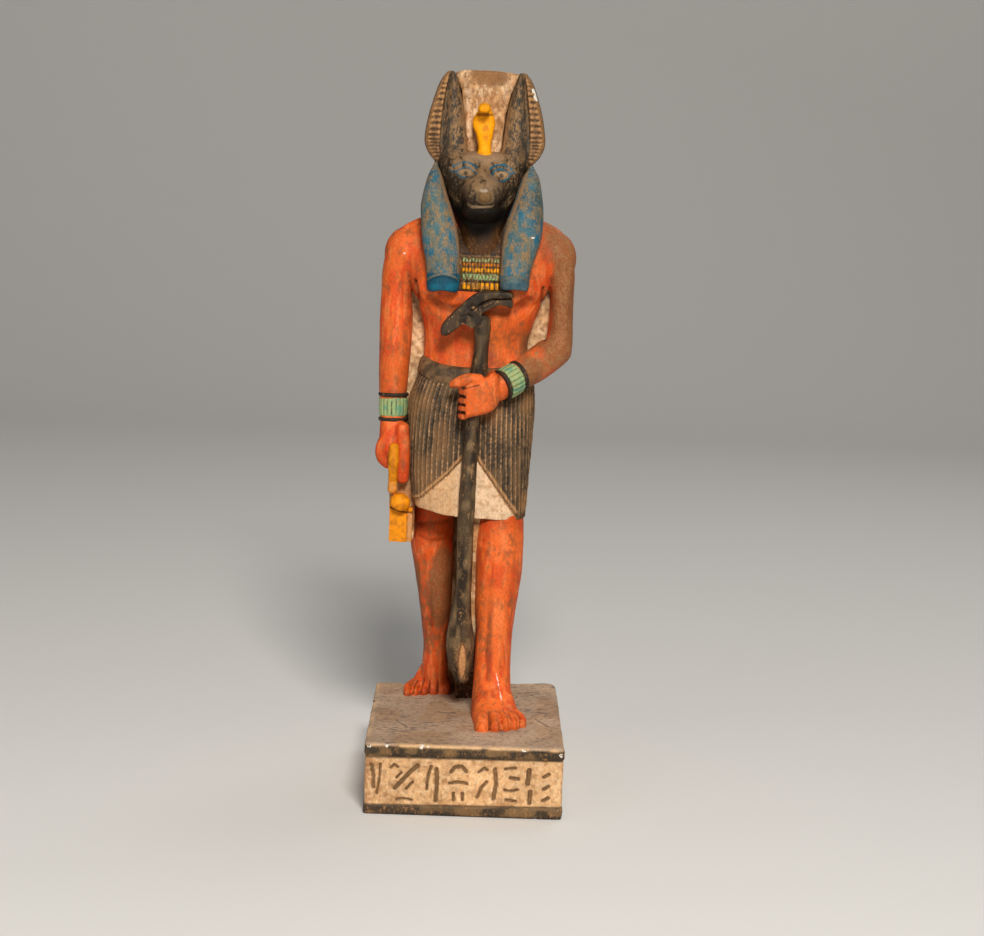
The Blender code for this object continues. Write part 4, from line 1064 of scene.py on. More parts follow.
def paint_plinth(clay, stone, base, half_x, half_y):
    p = clay.points
    face = ease(p[:, 1], -half_y + 3.0, -half_y + 1.5)
    flat = p[:, [0, 2]]
    cut = np.zeros(len(p))
    floor = np.zeros(len(p))
    near = np.nonzero(face > 0)[0]
    for points, half in MARKS:
        line = [(x, MARKS_LOW + MARKS_TALL * t) for x, t in points]
        half *= 1.15
        away = line_distance(flat[near], line)
        away = away + 0.4 * (grain(p[near], 1.6, 23) - 0.5)
        cut[near] = np.maximum(cut[near], ease(away, half + 0.2, half - 0.45))
        floor[near] = np.maximum(floor[near], ease(away, half - 0.3, half - 0.8))
    cut *= face
    p[:, 1] += 0.9 * cut
    chips = np.zeros(len(p))
    for x, z, radius, depth, seed in (
            (-59.4, -0.4, 2.0, 0.9, 31), (-49.0, -0.4, 1.3, 0.7, 32), (-3.5, -0.4, 1.5, 0.8, 34),
            (7.4, -0.2, 1.2, 0.7, 35), (44.0, -0.4, 1.9, 1.0, 36), (48.6, -0.6, 1.5, 0.8, 37),
            (52.4, -0.4, 1.6, 0.8, 45), (57.8, 0.2, 1.6, 1.2, 38), (57.0, 7.0, 1.2, 0.7, 39),
            (-57.8, 42.6, 1.6, 0.7, 40), (-22.0, 43.2, 1.0, 0.4, 41), (12.0, 43.4, 1.2, 0.5, 42),
            (-47.0, 43.4, 1.6, 0.5, 46), (-30.0, -0.2, 1.2, 0.6, 47), (24.0, -0.4, 1.4, 0.8, 48),
            (36.0, 43.2, 1.8, 0.6, 49),
            (58.6, 40.4, 1.8, 0.8, 50), (-12.0, -0.4, 1.2, 0.6, 51), (-26.0, 43.6, 2.2, 0.5, 52)):
        mask = clay.bite(np.array((x, -half_y, base + z)), radius, depth, seed)
        chips = np.maximum(chips, mask * ease(grain(clay.points, 0.9, seed), 0.2, 0.6))
    for x, y, z, radius, depth, seed in ((-60.5, 29, 0, 3.4, 1.4, 43), (60.0, 34.8, 1.4, 3.0, 1.3, 44)):
        chips = np.maximum(chips, 0.6 * clay.bite(np.array((x, y, z), float), radius, depth, seed))
    p = clay.points
    gouges = np.zeros(len(p))
    top = ease(p[:, 2], -1.6, -0.4)
    for seed, line in enumerate((((34, 54), (50, 37)), ((-50, -40), (-30, -52)), ((-44, -20), (-36, -38)),
                                 ((40, -66), (54, -50)), ((-30, 20), (-46, 28)), ((44, -10), (52, -28)))):
        away = line_distance(p[:, :2], line) + 0.6 * (grain(p, 4.0, seed + 60) - 0.5)
        gouges = np.maximum(gouges, ease(away, 0.8, 0.2) * top)
    clay.push(-0.35 * gouges)
    p = clay.points
    slant = 0.9 * p[:, 0] / half_x
    side = ease(np.abs(p[:, 1]), half_y - 4, half_y - 2) + ease(np.abs(p[:, 0]), half_x - 4, half_x - 2)
    side = np.clip(side, 0, 1)
    upper = ease(p[:, 2] - 0.5 * slant, -8.4, -7.4) * (1 - top)
    lower = ease(p[:, 2] - slant, base + 7.2, base + 6.2)
    bands = np.maximum(upper, lower)
    smooth_end = ease(p[:, 0], -52, -57) * face * (1 - bands)
    paint = mix(PANEL, PANEL_BROWN, 0.55 * ease(grain(p, 14.0, 52, (1, 1, 0.5)), 0.5, 0.8))
    paint = mix(paint, shade(186, 136, 92), 0.9 * smooth_end)
    ground = mix(PLINTH_GREY, shade(176, 134, 94), 0.5 * ease(grain(p, 17.0, 49), 0.5, 0.75))
    paint = mix(paint, ground, top)
    paint = mix(paint, PLINTH_DARK, 0.8 * gouges)
    flakes = ease(grain(p, 1.5, 53), 0.5, 0.7)
    paint = mix(paint, shade(250, 214, 168), 0.5 * flakes * (1 - top))
    paint = mix(paint, PANEL_BROWN, 0.5 * ease(grain(p, 1.8, 54), 0.62, 0.78) * (1 - top))
    lines = ease(grain(p, 1.8, 58, (2, 1, 1)), 0.6, 0.78) * ease(grain(p, 14.0, 59), 0.4, 0.62)
    paint = mix(paint, shade(98, 92, 90), 0.6 * lines * top)
    band_paint = mix(BAND_DARK, shade(136, 104, 68), 0.8 * ease(grain(p, 4.0, 50, (2, 1, 1)), 0.45, 0.7))
    paint = mix(paint, band_paint, bands)
    paint = mix(paint, INK, cut)
    paint = mix(paint, shade(146, 108, 70), 0.7 * floor * face)
    under = PANEL_BROWN
    under = mix(under, PLINTH_DARK, top * 0.8)
    under = mix(under, TAN, bands * 0.9)
    wear = 0.30 + 0.04 * bands + 0.06 * top
    rim = np.exp(-(((p[:, 2] + 0.8) / 0.9) ** 2)) * side
    paint = mix(paint, CREAM_LIGHT, 0.8 * rim * ease(grain(p, 6.0, 51), 0.3, 0.5))
    wear = np.where(cut > 0.3, 0.2, wear) * (1 - 0.5 * rim)
    groove = np.exp(-(((p[:, 2] - 0.5 * slant + 8.0) / 0.6) ** 2))
    groove += np.exp(-(((p[:, 2] - slant - base - 6.9) / 0.6) ** 2))
    ragged = ease(p[:, 2] + 1.8 * grain(p, 2.4, 57), base + 2.4, base + 1.4)
    grime_and_shade = (0.8 * np.clip(groove, 0, 1) + 0.5 * ragged) * (1 - top)
    # Painted highlight: glints along the top front edge, carried with the chips to the whitish chip colour.
    glint = (0.8 * rim * ease(grain(p, 1.3, 55, (4, 1, 1)), 0.56, 0.72) * ease(grain(p, 10.0, 56), 0.3, 0.5)
             * ease(p[:, 1], -half_y + 3, -half_y + 1))
    scratch = line_distance(flat, [(-52.0, -35.0), (-36.5, -25.5)])
    chips = np.maximum(chips, np.maximum(0.62 * ease(scratch, 0.5, 0.1) * face, 0.8 * glint))
    piece("plinth", clay, paint, under, wear, stone, chip_and_glint=chips * 0.8, grime_and_shade=grime_and_shade)


def make_stone(stone):
    clay = melt(stone_forms(), 0.85)
    clay.relax(3)
    clay.roughen(0.16, 0.30, 0.4)
    p = clay.points
    # Painted light: the webs beside the arms get the lighter cream, against the shade that they lie in.
    webs = ease(np.abs(p[:, 0]), 30, 34) * ease(p[:, 2], 160, 200)
    paint = mix(CREAM, CREAM_LIGHT, np.maximum(ease(p[:, 2], 345, 365) * 0.5, webs))
    high = ease(p[:, 2], 345, 352)
    paint = mix(paint, shade(226, 172, 118), 0.6 * high)
    flakes = ease(grain(p, 1.5, 66), 0.45, 0.6) * ease(grain(p, 9.0, 67), 0.25, 0.5)
    paint = mix(paint, shade(255, 222, 178), 0.8 * flakes)
    paint = mix(paint, shade(138, 92, 52), 0.8 * ease(grain(p, 1.7, 68), 0.54, 0.7))
    leaf_line = 10.5 + 0.012 * np.maximum(p[:, 2] - 345, 0) ** 1.5 - 2.2
    beside = (ease(np.abs(np.abs(p[:, 0] + 0.7) - leaf_line), 1.6, 0.5) * high
              * ease(grain(p, 3.0, 65, (1, 1, 3)), 0.35, 0.55))
    paint = mix(paint, shade(255, 222, 186), 0.6 * beside)
    rub = (ease(np.hypot((p[:, 0] - 2) / 13, (p[:, 2] - 404) / 10) + 0.3 * grain(p, 3, 64), 1.2, 0.8)
           * ease(p[:, 1], 60, 54))
    paint = mix(paint, shade(142, 104, 66), rub * 0.9)
    clay.push(-0.8 * rub)
    # Painted shadow: the web's foot below the staff's end and beside the front heel is painted dark brown.
    red = ease(p[:, 0], -4, 2) * ease(p[:, 0], 12, 8) * ease(p[:, 2], 30, 20) * ease(p[:, 1], 60, 50)
    shade_low = ease(p[:, 0], -9, -7) * ease(p[:, 0], 9.5, 8) * ease(p[:, 2], 62, 40) * ease(p[:, 1], 62, 55)
    paint = mix(paint, shade(64, 36, 22), np.clip(shade_low + red, 0, 1))
    grime_and_shade = 0.5 * ease(clay.bend(2), -0.02, -0.06)
    under = mix(TAN, shade(142, 96, 54), 0.8 * high)
    wear = 0.34 + 0.13 * high + 0.07 * webs + 0.2 * rub
    piece("back_pillar", clay, paint, under, wear, stone, grime_and_shade=grime_and_shade)


def carve(clay, line, half, depth, where, axes=(0, 2)):
    """A rounded groove along a line, seen from the front or, with axes 0 and 1, from above."""
    mask = ease(line_distance(clay.points[:, list(axes)], line), half, half * 0.15) * where(clay.points)
    clay.push(-depth * mask)
    return mask


TOE_GROOVES = (((14.4, -27), (15.4, -50)), ((18.4, -24), (22.0, -47)), ((22.6, -20), (28.2, -44)),
               ((26.4, -16), (33.4, -40)), ((-19.4, 56), (-18.3, 44)), ((-24.2, 56), (-25.2, 42)),
               ((-28.2, 55), (-31.2, 41)),
               ((-32.5, 54), (-36.2, 39)))
NAILS = ((10.2, -46.0, 3.4, 3.2), (18.6, -45.4, 2.1, 2.2), (25.1, -43.2, 1.9, 2.0), (30.6, -39.2, 1.7, 1.9),
         (35.0, -33.6, 1.5, 1.7), (-14.4, 46.6, 3.2, 2.8), (-22.0, 45.0, 1.8, 1.8), (-28.2, 43.2, 1.8, 1.7),
         (-33.8, 41.4, 1.7, 1.6),
         (-38.4, 40.0, 1.4, 1.5))


# Creases and, with a depth below zero, ridges: an (x, z) line, half a width, a depth, and the two y
# between which it lies
FOLDS = (
    ([(-34.2, 107.4), (-26.4, 103.8), (-17.3, 105.7)], 2.8, 1.1, 30, 60),
    ([(-34.5, 115.2), (-23.8, 116.8), (-16.1, 117.4)], 2.8, 0.9, 30, 60),
    ([(7, 109.4), (11.3, 107.3), (17, 106.6), (23, 107.6)], 2.8, 0.5, -10, 30),
    ([(8, 119.0), (13, 121.0), (20, 121.0)], 2.6, 0.3, -10, 30),
    ([(-30.0, 96.0), (-27.6, 84.0), (-25.6, 66.0), (-24.0, 48.0)], 2.2, -0.55, 30, 60),
    ([(15.4, 98.0), (14.6, 84.0), (13.4, 64.0), (13.0, 40.0), (14.0, 24.0)], 2.4, -0.6, -10, 30),
    ([(-41.8, 272.0), (-40.0, 264.0), (-40.6, 250.0), (-41.4, 226.0)], 2.0, 1.2, 20, 60),
    ([(40.0, 270.0), (39.4, 262.0), (40.4, 250.0), (41.4, 238.0)], 2.0, 1.0, 20, 60),
    ([(-31.0, 262.0), (-25.0, 256.0), (-16.0, 254.4), (-6.0, 257.0)], 5.0, 1.7, 20, 44),
    ([(30.0, 262.0), (22.0, 255.6), (12.0, 254.6), (4.0, 257.0)], 5.0, 1.7, 20, 44),
    ([(-1.0, 256.0), (-1.0, 240.0), (-1.0, 222.0)], 2.0, 0.35, 20, 40))


def make_body(stone):
    arms = right_arm_forms() + left_arm_forms()
    legs = rear_leg_forms() + front_leg_forms()
    clay = melt(torso_forms() + arms + legs, 0.72)
    p = clay.points
    hands = (ease(p[:, 2], 182, 176) * ease(p[:, 0], -36, -40) * ease(p[:, 2], 135, 140)
             + ease(p[:, 0], 20, 14) * ease(p[:, 2], 224, 219) * ease(p[:, 2], 184, 188)
             * ease(p[:, 1], 22, 17))
    feet = ease(p[:, 2], 16, 9)
    pits = ease(np.abs(np.abs(p[:, 0] + 0.8) - 41), 7, 3) * ease(p[:, 2], 225, 240) * ease(p[:, 2], 300, 285)
    clay.relax(22, 1 - np.clip(hands + feet + 0.75 * pits, 0, 1))
    clay.relax(3, 1.0)
    folds = np.zeros(len(p))
    for line, half, depth, low, high in FOLDS:
        folds = np.maximum(folds, carve(clay, line, half, depth,
                                        lambda q: ease(q[:, 1], high, high - 6) * (q[:, 1] > low)))
    for z in (203.0, 197.8, 192.9):
        mask = carve(clay, ((-13.0, z), (-8.4, z + 0.3)), 1.0, 1.2, lambda q: q[:, 1] < 12)
        folds = np.maximum(folds, mask)
    mask = carve(clay, ((-9.4, 208.2), (-3.0, 210.2), (1.0, 211.0)), 1.0, 0.7, lambda q: q[:, 1] < 10)
    folds = np.maximum(folds, mask)
    carve(clay, ((-7.6, 206.0), (-7.4, 198.0), (-7.8, 191.0)), 1.4, 0.7, lambda q: q[:, 1] < 8)
    mask = carve(clay, ((8.6, 214.6), (11.4, 217.4)), 1.2, 0.6, lambda q: q[:, 1] < 14)
    for line in TOE_GROOVES:
        mask = 0.6 * carve(clay, line, 1.0, 1.0, lambda q: ease(q[:, 2], 11, 7) * (q[:, 2] > 0.4), (0, 1))
        folds = np.maximum(folds, mask)
    for x, y, half_x, half_y in NAILS:
        away = np.hypot((clay.points[:, 0] - x) / half_x, (clay.points[:, 1] - y) / half_y)
        ring = ease(np.abs(away - 1.0), 0.35, 0.1) * (clay.points[:, 2] > 1.4) * (clay.points[:, 2] < 12)
        clay.push(-0.3 * ring)
        folds = np.maximum(folds, 0.5 * ring)
    nail = line_distance(clay.points[:, [0, 2]], [(-47.4, 149.3), (-43.6, 149.3)])
    clay.push(-0.25 * ease(nail, 0.9, 0.2) * (clay.points[:, 1] < 32))
    clay.roughen(0.06, 0.14, 0.35)
    p = clay.points
    bend = clay.bend(3)
    paint = mix(RED, RED_DEEP, 0.6 * ease(grain(p, 20, 61), 0.45, 0.8))
    # Painted light: the front shin, the upper hanging arm and the fist are painted a lighter red, the rest of the
    # chest a brighter orange, and the shin brighter still.
    shin_front = ease(p[:, 0], -4, 0) * ease(p[:, 2], 124, 112) * ease(p[:, 1], 30, 20)
    lit = np.clip(shin_front + ease(p[:, 0], -38, -44) * ease(p[:, 2], 170, 190)
                  + ease(p[:, 0], 22, 14) * ease(p[:, 2], 222, 216) * ease(p[:, 2], 182, 186)
                  * ease(p[:, 1], 26, 18), 0, 1)
    paint = mix(paint, RED_LIT, 0.75 * lit)
    chest = ease(np.abs(p[:, 0] + 0.5), 42, 36) * ease(p[:, 2], 212, 220) * ease(p[:, 2], 302, 284)
    paint = mix(paint, shade(240, 106, 40), 0.7 * chest * (1 - lit))
    paint = mix(paint, shade(252, 116, 46), 0.75 * shin_front)
    red_patch = ease(grain(p, 9.0, 60, (1, 1, 2)), 0.42, 0.62) * ease(grain(p, 2.4, 59, (1, 1, 3)), 0.25, 0.5)
    paint = mix(paint, shade(214, 66, 26), 0.6 * red_patch)
    # Painted highlight on the belly, in patches.
    belly = ease(np.hypot((p[:, 0] + 2) / 26, (p[:, 2] - 236) / 26), 1.1, 0.4) * ease(p[:, 1], 44, 34)
    paint = mix(paint, shade(226, 120, 46), 0.5 * belly * ease(grain(p, 7, 64), 0.35, 0.65))
    # Painted highlights in light vertical streaks over the skin.
    highlight_streaks = ease(grain(p, 2.0, 65, (1, 1, 7)), 0.55, 0.8)
    paint = mix(paint, shade(255, 150, 88), 0.35 * highlight_streaks)
    stains = ease(grain(p, 6.5, 63, (1, 1, 1.6)), 0.55, 0.8) * ease(grain(p, 1.6, 69), 0.3, 0.6)
    paint = mix(paint, shade(128, 80, 48), 0.55 * stains)
    # Painted shade: the fingertips curled behind the staff are painted deep red.
    tips = ease(p[:, 0], -8.2, -9.4) * ease(p[:, 1], 12, 9) * ease(p[:, 2], 186, 188) * ease(p[:, 2], 210, 207)
    paint = mix(paint, RED_DEEP, 0.7 * tips)
    under = BROWN
    arm = ease(p[:, 0], 43, 48) * ease(p[:, 2], 200, 215)
    shoulder = ease(p[:, 0], 30, 46) * ease(p[:, 2], 282, 300)
    forearm = ease(p[:, 0], 20, 30) * ease(p[:, 2], 250, 232) * ease(p[:, 2], 195, 203)
    shin = ease(p[:, 0], -8, -12) * ease(p[:, 2], 100, 84) * ease(p[:, 2], 20, 34) * ease(p[:, 1], 30, 34)
    browned = np.clip(arm + shoulder + forearm, 0, 1)
    throat = ease(np.abs(p[:, 0] + 0.9), 17, 15) * ease(p[:, 2], 283, 286) * ease(p[:, 1], 46, 40)
    edge = ease(line_distance(p[:, [0, 2]], [(43.6, 284.0), (43.2, 262.0), (43.8, 240.0)]), 1.6, 0.6)
    browned = browned * (1 - edge)
    shin_patch = (ease(np.hypot((p[:, 0] + 18.5) / 9.0, (p[:, 2] - 74) / 30), 1.05, 0.8)
                  * ease(p[:, 1], 52, 48) * (p[:, 0] < -8))
    outer_shin = ease(p[:, 0], -31, -34) * ease(p[:, 2], 96, 80) * ease(p[:, 2], 24, 40) * ease(p[:, 1], 30, 34)
    paint = mix(paint, shade(126, 78, 44), 0.85 * np.maximum(shin_patch, outer_shin))
    paint = mix(paint, BROWN, 0.85 * browned * ease(grain(p, 12, 62, (1, 1, 2)) + 0.2 * forearm, 0.2, 0.6))
    under = mix(under, TAN, 0.5 * browned)
    paint = mix(paint, shade(62, 40, 22), throat)
    under = mix(under, shade(132, 90, 50), throat)
    wear = 0.33 + 0.12 * browned + 0.14 * shin
    # Dark in hollows and creases, the knees' too: dirt and painted shade.
    grime_and_shade = (0.5 * ease(bend, -0.015, -0.06) + 0.5 * folds * np.maximum(ease(np.abs(p[:, 2] - 110), 20, 60),
                                                                        0.4 * (p[:, 0] < -8)))
    chips = np.zeros(len(p))
    for centre, radius, seed in (((-49, 33, 289), 1.4, 71), ((24, -8, 24), 1.6, 72),
                                 ((25.5, -12, 17), 1.3, 73)):
        chips = np.maximum(chips, clay.bite(np.array(centre, float), radius, 0.3, seed))
    crack = line_distance(p[:, [0, 2]], [(-33.4, 64.8), (-28.0, 66.4), (-22.0, 65.8)])
    chips = np.maximum(chips, 0.5 * ease(crack, 0.5, 0.1) * ease(p[:, 1], 50, 44))
    scar = (line_distance(p[:, [0, 2]], [(18.4, 28.0), (20.0, 21.0), (22.4, 12.0)]) + 0.8
            * (grain(p, 1.6, 74) - 0.5))
    chips = np.maximum(chips, 0.8 * ease(scar, 0.7, 0.2) * ease(p[:, 1], 16, 10))
    piece("body", clay, paint, under, wear, stone, chip_and_glint=chips * 0.75, grime_and_shade=grime_and_shade)


def make_kilt(stone):
    wrap, apron, belt = kilt_wrap(), kilt_apron(), kilt_belt()
    clay = melt([wrap, apron, belt], 0.62)
    clay.relax(1)
    clay.roughen(0.08, 0.12, 0.25)
    p = clay.points
    bend = clay.bend(1)
    from_wrap = distance(p, [wrap], 4.0)
    is_apron = ease(from_wrap - distance(p, [apron], 4.0), 0.1, 0.5)
    is_belt = ease(from_wrap - distance(p, [belt], 4.0), 0.1, 0.5) * (1 - is_apron)
    crest = ease(bend, 0.02, 0.06)
    patchy = 0.35 + 0.5 * ease(grain(p, 4.0, 86, (1, 1, 3)), 0.35, 0.7)
    ground = mix(shade(58, 48, 36), shade(100, 78, 52), ease(grain(p, 5.0, 87, (1, 1, 3)), 0.35, 0.7))
    ground = mix(ground, shade(138, 98, 60), (0.7 + 0.2 * (p[:, 0] > 0))
                 * ease(grain(p, 11.0, 85, (1, 1, 2)), 0.5, 0.75))
    # Lighter on the pleats' crests: painted highlight, and under it worn paint where the crests are rubbed.
    paint = mix(ground, shade(178, 134, 92), crest * patchy)
    under = mix(shade(104, 80, 56), shade(184, 142, 104), crest)
    belt_paint = mix(shade(128, 96, 64), shade(74, 58, 42), ease(grain(p, 3.4, 83, (2, 1, 1)), 0.45, 0.7))
    paint = mix(paint, belt_paint, is_belt)
    white = mix(APRON_WHITE, shade(202, 156, 108), 0.75 * ease(p[:, 0], -4, -16))
    white = mix(white, shade(184, 132, 84), 0.55 * ease(grain(p, 1.5, 84), 0.55, 0.75))
    paint = mix(paint, white, is_apron)
    under = mix(under, shade(190, 142, 98), is_apron)
    rim = line_distance(p[:, [0, 2]], list(APRON_OPENING[:6]))
    rim = np.minimum(rim, line_distance(p[:, [0, 2]], list(APRON_OPENING[8:]) + [APRON_OPENING[0]]))
    rim_light = ease(np.abs(rim - 1.2), 1.2, 0.4) * ease(p[:, 1], 30, 24) * (1 - is_apron) * (p[:, 2] < 166)
    paint = mix(paint, CREAM, 0.75 * rim_light)
    wear = 0.42 - 0.10 * is_apron
    # Painted shadow along the hem, with dirt and painted shade in the pleats' hollows.
    hem = ease(p[:, 2] - 0.05 * p[:, 0], 128.6, 125.0) * (1 - is_apron)
    grime_and_shade = np.clip(0.65 * ease(bend, -0.03, -0.10) + 0.7 * hem, 0, 1) * (1 - is_apron)
    chips = np.zeros(len(p))
    for centre, radius, seed in (((14.0, 12, 190), 1.2, 81), ((14.0, 11, 178), 1.4, 82)):
        chips = np.maximum(chips, clay.bite(np.array(centre, float), radius, 0.3, seed))
    piece("kilt", clay, paint, under, wear, stone, chip_and_glint=chips * 0.8, grime_and_shade=grime_and_shade)


def triangles(faces):
    return np.concatenate((faces[:, [0, 1, 2]], faces[:, [0, 2, 3]]))


def make_head(stone):
    leaves, furs = ear_forms()
    clay = melt(head_forms() + leaves + furs, 0.6)
    keep = 1 - ease(clay.points[:, 2], 346, 352)
    clay.relax(20, keep)
    clay.relax(1)
    face = [(clay.points, triangles(clay.faces))]
    eyes = []
    for (x, z), (half_x, half_z) in EYES:
        y = front_of(face, [(x, z)])[0]
        eyes.append(ball((x, y + 1.3, z), (half_x, 2.2, half_z)))
    lids = [ridge(line, 0.32, face) for line in LID_LINES]
    brows = [ridge(line, 0.4, face) for line in BROW_LINES]
    lip = [ridge(LIP_LINE, 0.8, face)]
    clay = melt(face + eyes + lids + brows + lip, 0.56)
    clay.relax(1)
    clay.roughen(0.06, 0.12, 0.2)
    p = clay.points
    bend = clay.bend(2)
    is_leaf = ease(distance(p, leaves, 3.0), 1.0, 0.6) * ease(p[:, 2], 344, 347)
    is_leaf *= ease(np.abs(p[:, 0] + 0.7), 9, 10.5)
    is_fur = ease(distance(p, furs, 3.0), 0.9, 0.5) * (1 - is_leaf) * ease(p[:, 2], 343, 347)
    is_lid = ease(distance(p, lids, 3.0), 0.5, 0.1)
    is_brow = ease(distance(p, brows, 3.0), 0.5, 0.1)
    is_eye = ease(distance(p, eyes, 3.0), 0.5, 0.25) * (1 - is_lid)
    is_lip = ease(distance(p, lip, 3.0), 0.7, 0.3)
    paint, under = DARK_FACE, FACE_TAN
    reach = 14 + 12 * ease(p[:, 2], 336, 345)
    middle = ease(np.abs(p[:, 0] + 0.9) / reach, 1.15, 0.35) * ease(p[:, 2], 324, 335)
    streaks = grain(p, 2.2, 88, (1, 2.5, 2.5))
    wear = 0.34 + 0.16 * middle
    paint = mix(paint, shade(168, 132, 94), 0.85 * middle * ease(streaks, 0.3, 0.6))
    forehead = ease(p[:, 2], 346.6, 350.8) * (1 - is_leaf) * ease(np.abs(p[:, 0] + 1.5), 15, 8)
    paint = mix(paint, GREY_TAN, forehead)
    # Painted shadow: nearly black under the jaw.
    low = ease(p[:, 2], 325, 317)
    paint = mix(paint, shade(14, 8, 3), low)
    under = mix(under, shade(34, 22, 10), low)
    throat = ease(p[:, 2] - 6 * ease(np.abs(p[:, 0] + 0.9), 3, 11), 306, 294)
    paint = mix(paint, shade(82, 52, 26), throat)
    under = mix(under, shade(132, 90, 50), throat)
    leaf_edge = 10.5 + 0.012 * np.maximum(p[:, 2] - 345, 0) ** 1.5
    inner_edge = ease(np.abs(np.abs(p[:, 0] + 0.7) - leaf_edge), 2.6, 1.2)
    rubbed = np.clip(0.65 * inner_edge + 0.4 * ease(grain(p, 2.0, 94, (1, 1, 3)), 0.5, 0.8), 0, 0.8)
    paint = mix(paint, mix(shade(66, 60, 52), shade(150, 114, 76), rubbed), is_leaf)
    under = mix(under, shade(146, 112, 76), is_leaf)
    wear = wear + 0.04 * is_leaf
    ribs = ease(bend, -0.01, 0.04)
    paint = mix(paint, mix(shade(72, 50, 28), shade(180, 132, 84), ribs), is_fur)
    under = mix(under, shade(140, 104, 70), is_fur)
    wear = wear + 0.04 * is_fur
    paint = mix(paint, shade(158, 126, 90), is_eye)
    for (x, z), _ in EYES:
        pupil = np.hypot(p[:, 0] - x, p[:, 2] - z)
        paint = mix(paint, shade(52, 48, 44), 0.85 * ease(pupil, 1.8, 0.9) * is_eye)
    faded = 0.62 + 0.3 * ease(grain(p, 2.0, 89), 0.35, 0.65)
    paint = mix(paint, BLUE_LINE, is_lid * faded)
    paint = mix(paint, BLUE_LINE, is_brow * faded)
    paint = mix(paint, shade(158, 130, 98), is_lip * 0.9)
    nose = np.hypot((p[:, 0] - 0.8) / 4.2, (p[:, 2] - 327.6) / 3.6)
    on_nose = ease(p[:, 1], -4, -7)
    paint = mix(paint, shade(122, 92, 54), ease(nose, 1.1, 0.9) * on_nose)
    # A pale ring round the nose pad, its rim and painted highlight, and a painted glint on top.
    paint = mix(paint, shade(170, 138, 100), ease(np.abs(nose - 1.15), 0.25, 0.1) * on_nose * 0.5)
    glint = ease(np.hypot((p[:, 0] + 0.4) / 3.2, (p[:, 2] - 331.6) / 1.3), 1.1, 0.5) * ease(p[:, 1], 2, -2)
    paint = mix(paint, shade(206, 190, 168), 0.8 * glint)
    wear = wear * (1 - 0.5 * np.clip(is_lid + is_brow + is_eye + is_lip, 0, 1))
    # Painted shadow where the ear's leaf steps down onto the fur, and dirt and painted shade in hollows.
    step = ease(np.abs(distance(p, leaves, 3.0) - 1.0), 0.9, 0.3) * is_fur * ease(p[:, 2], 346, 350)
    grime_and_shade = np.clip(0.6 * ease(bend, -0.02, -0.07) + 0.4 * step, 0, 1)
    chips = np.zeros(len(p))
    for centre, radius, seed in (((30.4, 43.0, 393.6), 3.2, 91), ((31.8, 43.4, 390.0), 2.8, 93),
                                 ((35.8, 44, 352.6), 1.6, 92)):
        chips = np.maximum(chips, clay.bite(np.array(centre, float), radius, 0.6, seed))
    piece("head", clay, paint, under, wear, stone, chip_and_glint=chips, grime_and_shade=grime_and_shade)


def make_wig(stone):
    back, falls, cuffs = wig_forms()
    clay = melt(back + falls + cuffs, 0.7)
    clay.relax(2)
    clay.roughen(0.06, 0.14, 0.3)
    p = clay.points
    x = np.abs(p[:, 0] + 1.0)
    is_cuff = ease(distance(p, cuffs, 3.0), 0.7, 0.3) * ease(p[:, 2], 279, 278)
    paint = mix(BLUE_GREY, BLUE, 0.4 + 0.6 * ease(grain(p, 9, 95, (1, 1, 2)), 0.35, 0.6))
    paint = mix(paint, CHARCOAL, 0.35 * ease(grain(p, 5, 96, (1, 1, 2.5)), 0.55, 0.75))
    paint = mix(paint, BLUE_DEEP, is_cuff)
    under = shade(148, 114, 72)
    inner = np.interp(p[:, 2], (270, 290, 310, 330, 345), (13.0, 13.0, 17.0, 24.0, 28.0))
    edge = ease(np.abs(x - inner), 1.6, 0.5) * ease(p[:, 1], 40, 34) * (1 - is_cuff)
    paint = mix(paint, TAN, 0.75 * edge)
    # The cuffs' rims: a groove painted tan as a highlight along the top, and a painted shadow in the crease below.
    arc = ease(np.abs(p[:, 2] - 278.4 + 0.04 * (x - 22.5) ** 2), 0.8, 0.2) * ease(p[:, 1], 34, 30)
    clay.push(-0.35 * arc)
    paint = mix(paint, shade(150, 132, 96), 0.7 * arc)
    fold = ease(np.abs(p[:, 2] - 276.8 + 0.04 * (x - 22.5) ** 2), 0.8, 0.3) * ease(p[:, 1], 34, 30)
    paint = mix(paint, shade(18, 36, 42), 0.7 * fold)
    paint = mix(paint, shade(16, 104, 128), 0.6 * is_cuff * ease(grain(p, 6, 99), 0.5, 0.7))
    soft = ease(grain(p, 2.6, 94, (1, 1, 1.6)), 0.42, 0.72) * (1 - is_cuff)
    paint = mix(paint, shade(126, 112, 82), 0.62 * soft)
    paint = mix(paint, shade(124, 132, 122), is_cuff * ease(p[:, 0], 8, 14) * (0.1 + 0.5 * grain(p, 3, 93)))
    wear = 0.41 - 0.2 * is_cuff
    # Hollows cut under the cuffs, painted dark as the shade in them.
    notch = ease(np.hypot((p[:, 0] - 22.0) / 6.0, (p[:, 2] - 268.2) / 1.6), 1.1, 0.5) * ease(p[:, 1], 26, 20)
    hollow = ease(np.hypot((p[:, 0] + 24) / 5, (p[:, 2] - 266.4) / 1.6), 1.2, 0.4) * ease(p[:, 1], 30, 24)
    clay.push(-0.9 * np.maximum(notch, 0.5 * hollow))
    grime_and_shade = np.clip(0.6 * ease(clay.bend(2), -0.02, -0.06) + 0.9 * np.maximum(notch, hollow), 0, 1)
    fleck = np.hypot((p[:, 0] - 31.4) / 1.4, (p[:, 2] - 302.5) / 1.0)
    chips = 0.7 * ease(fleck, 1.2, 0.6) * ease(p[:, 1], 30, 24)
    piece("wig", clay, paint, under, wear, stone, chip_and_glint=chips, grime_and_shade=grime_and_shade)


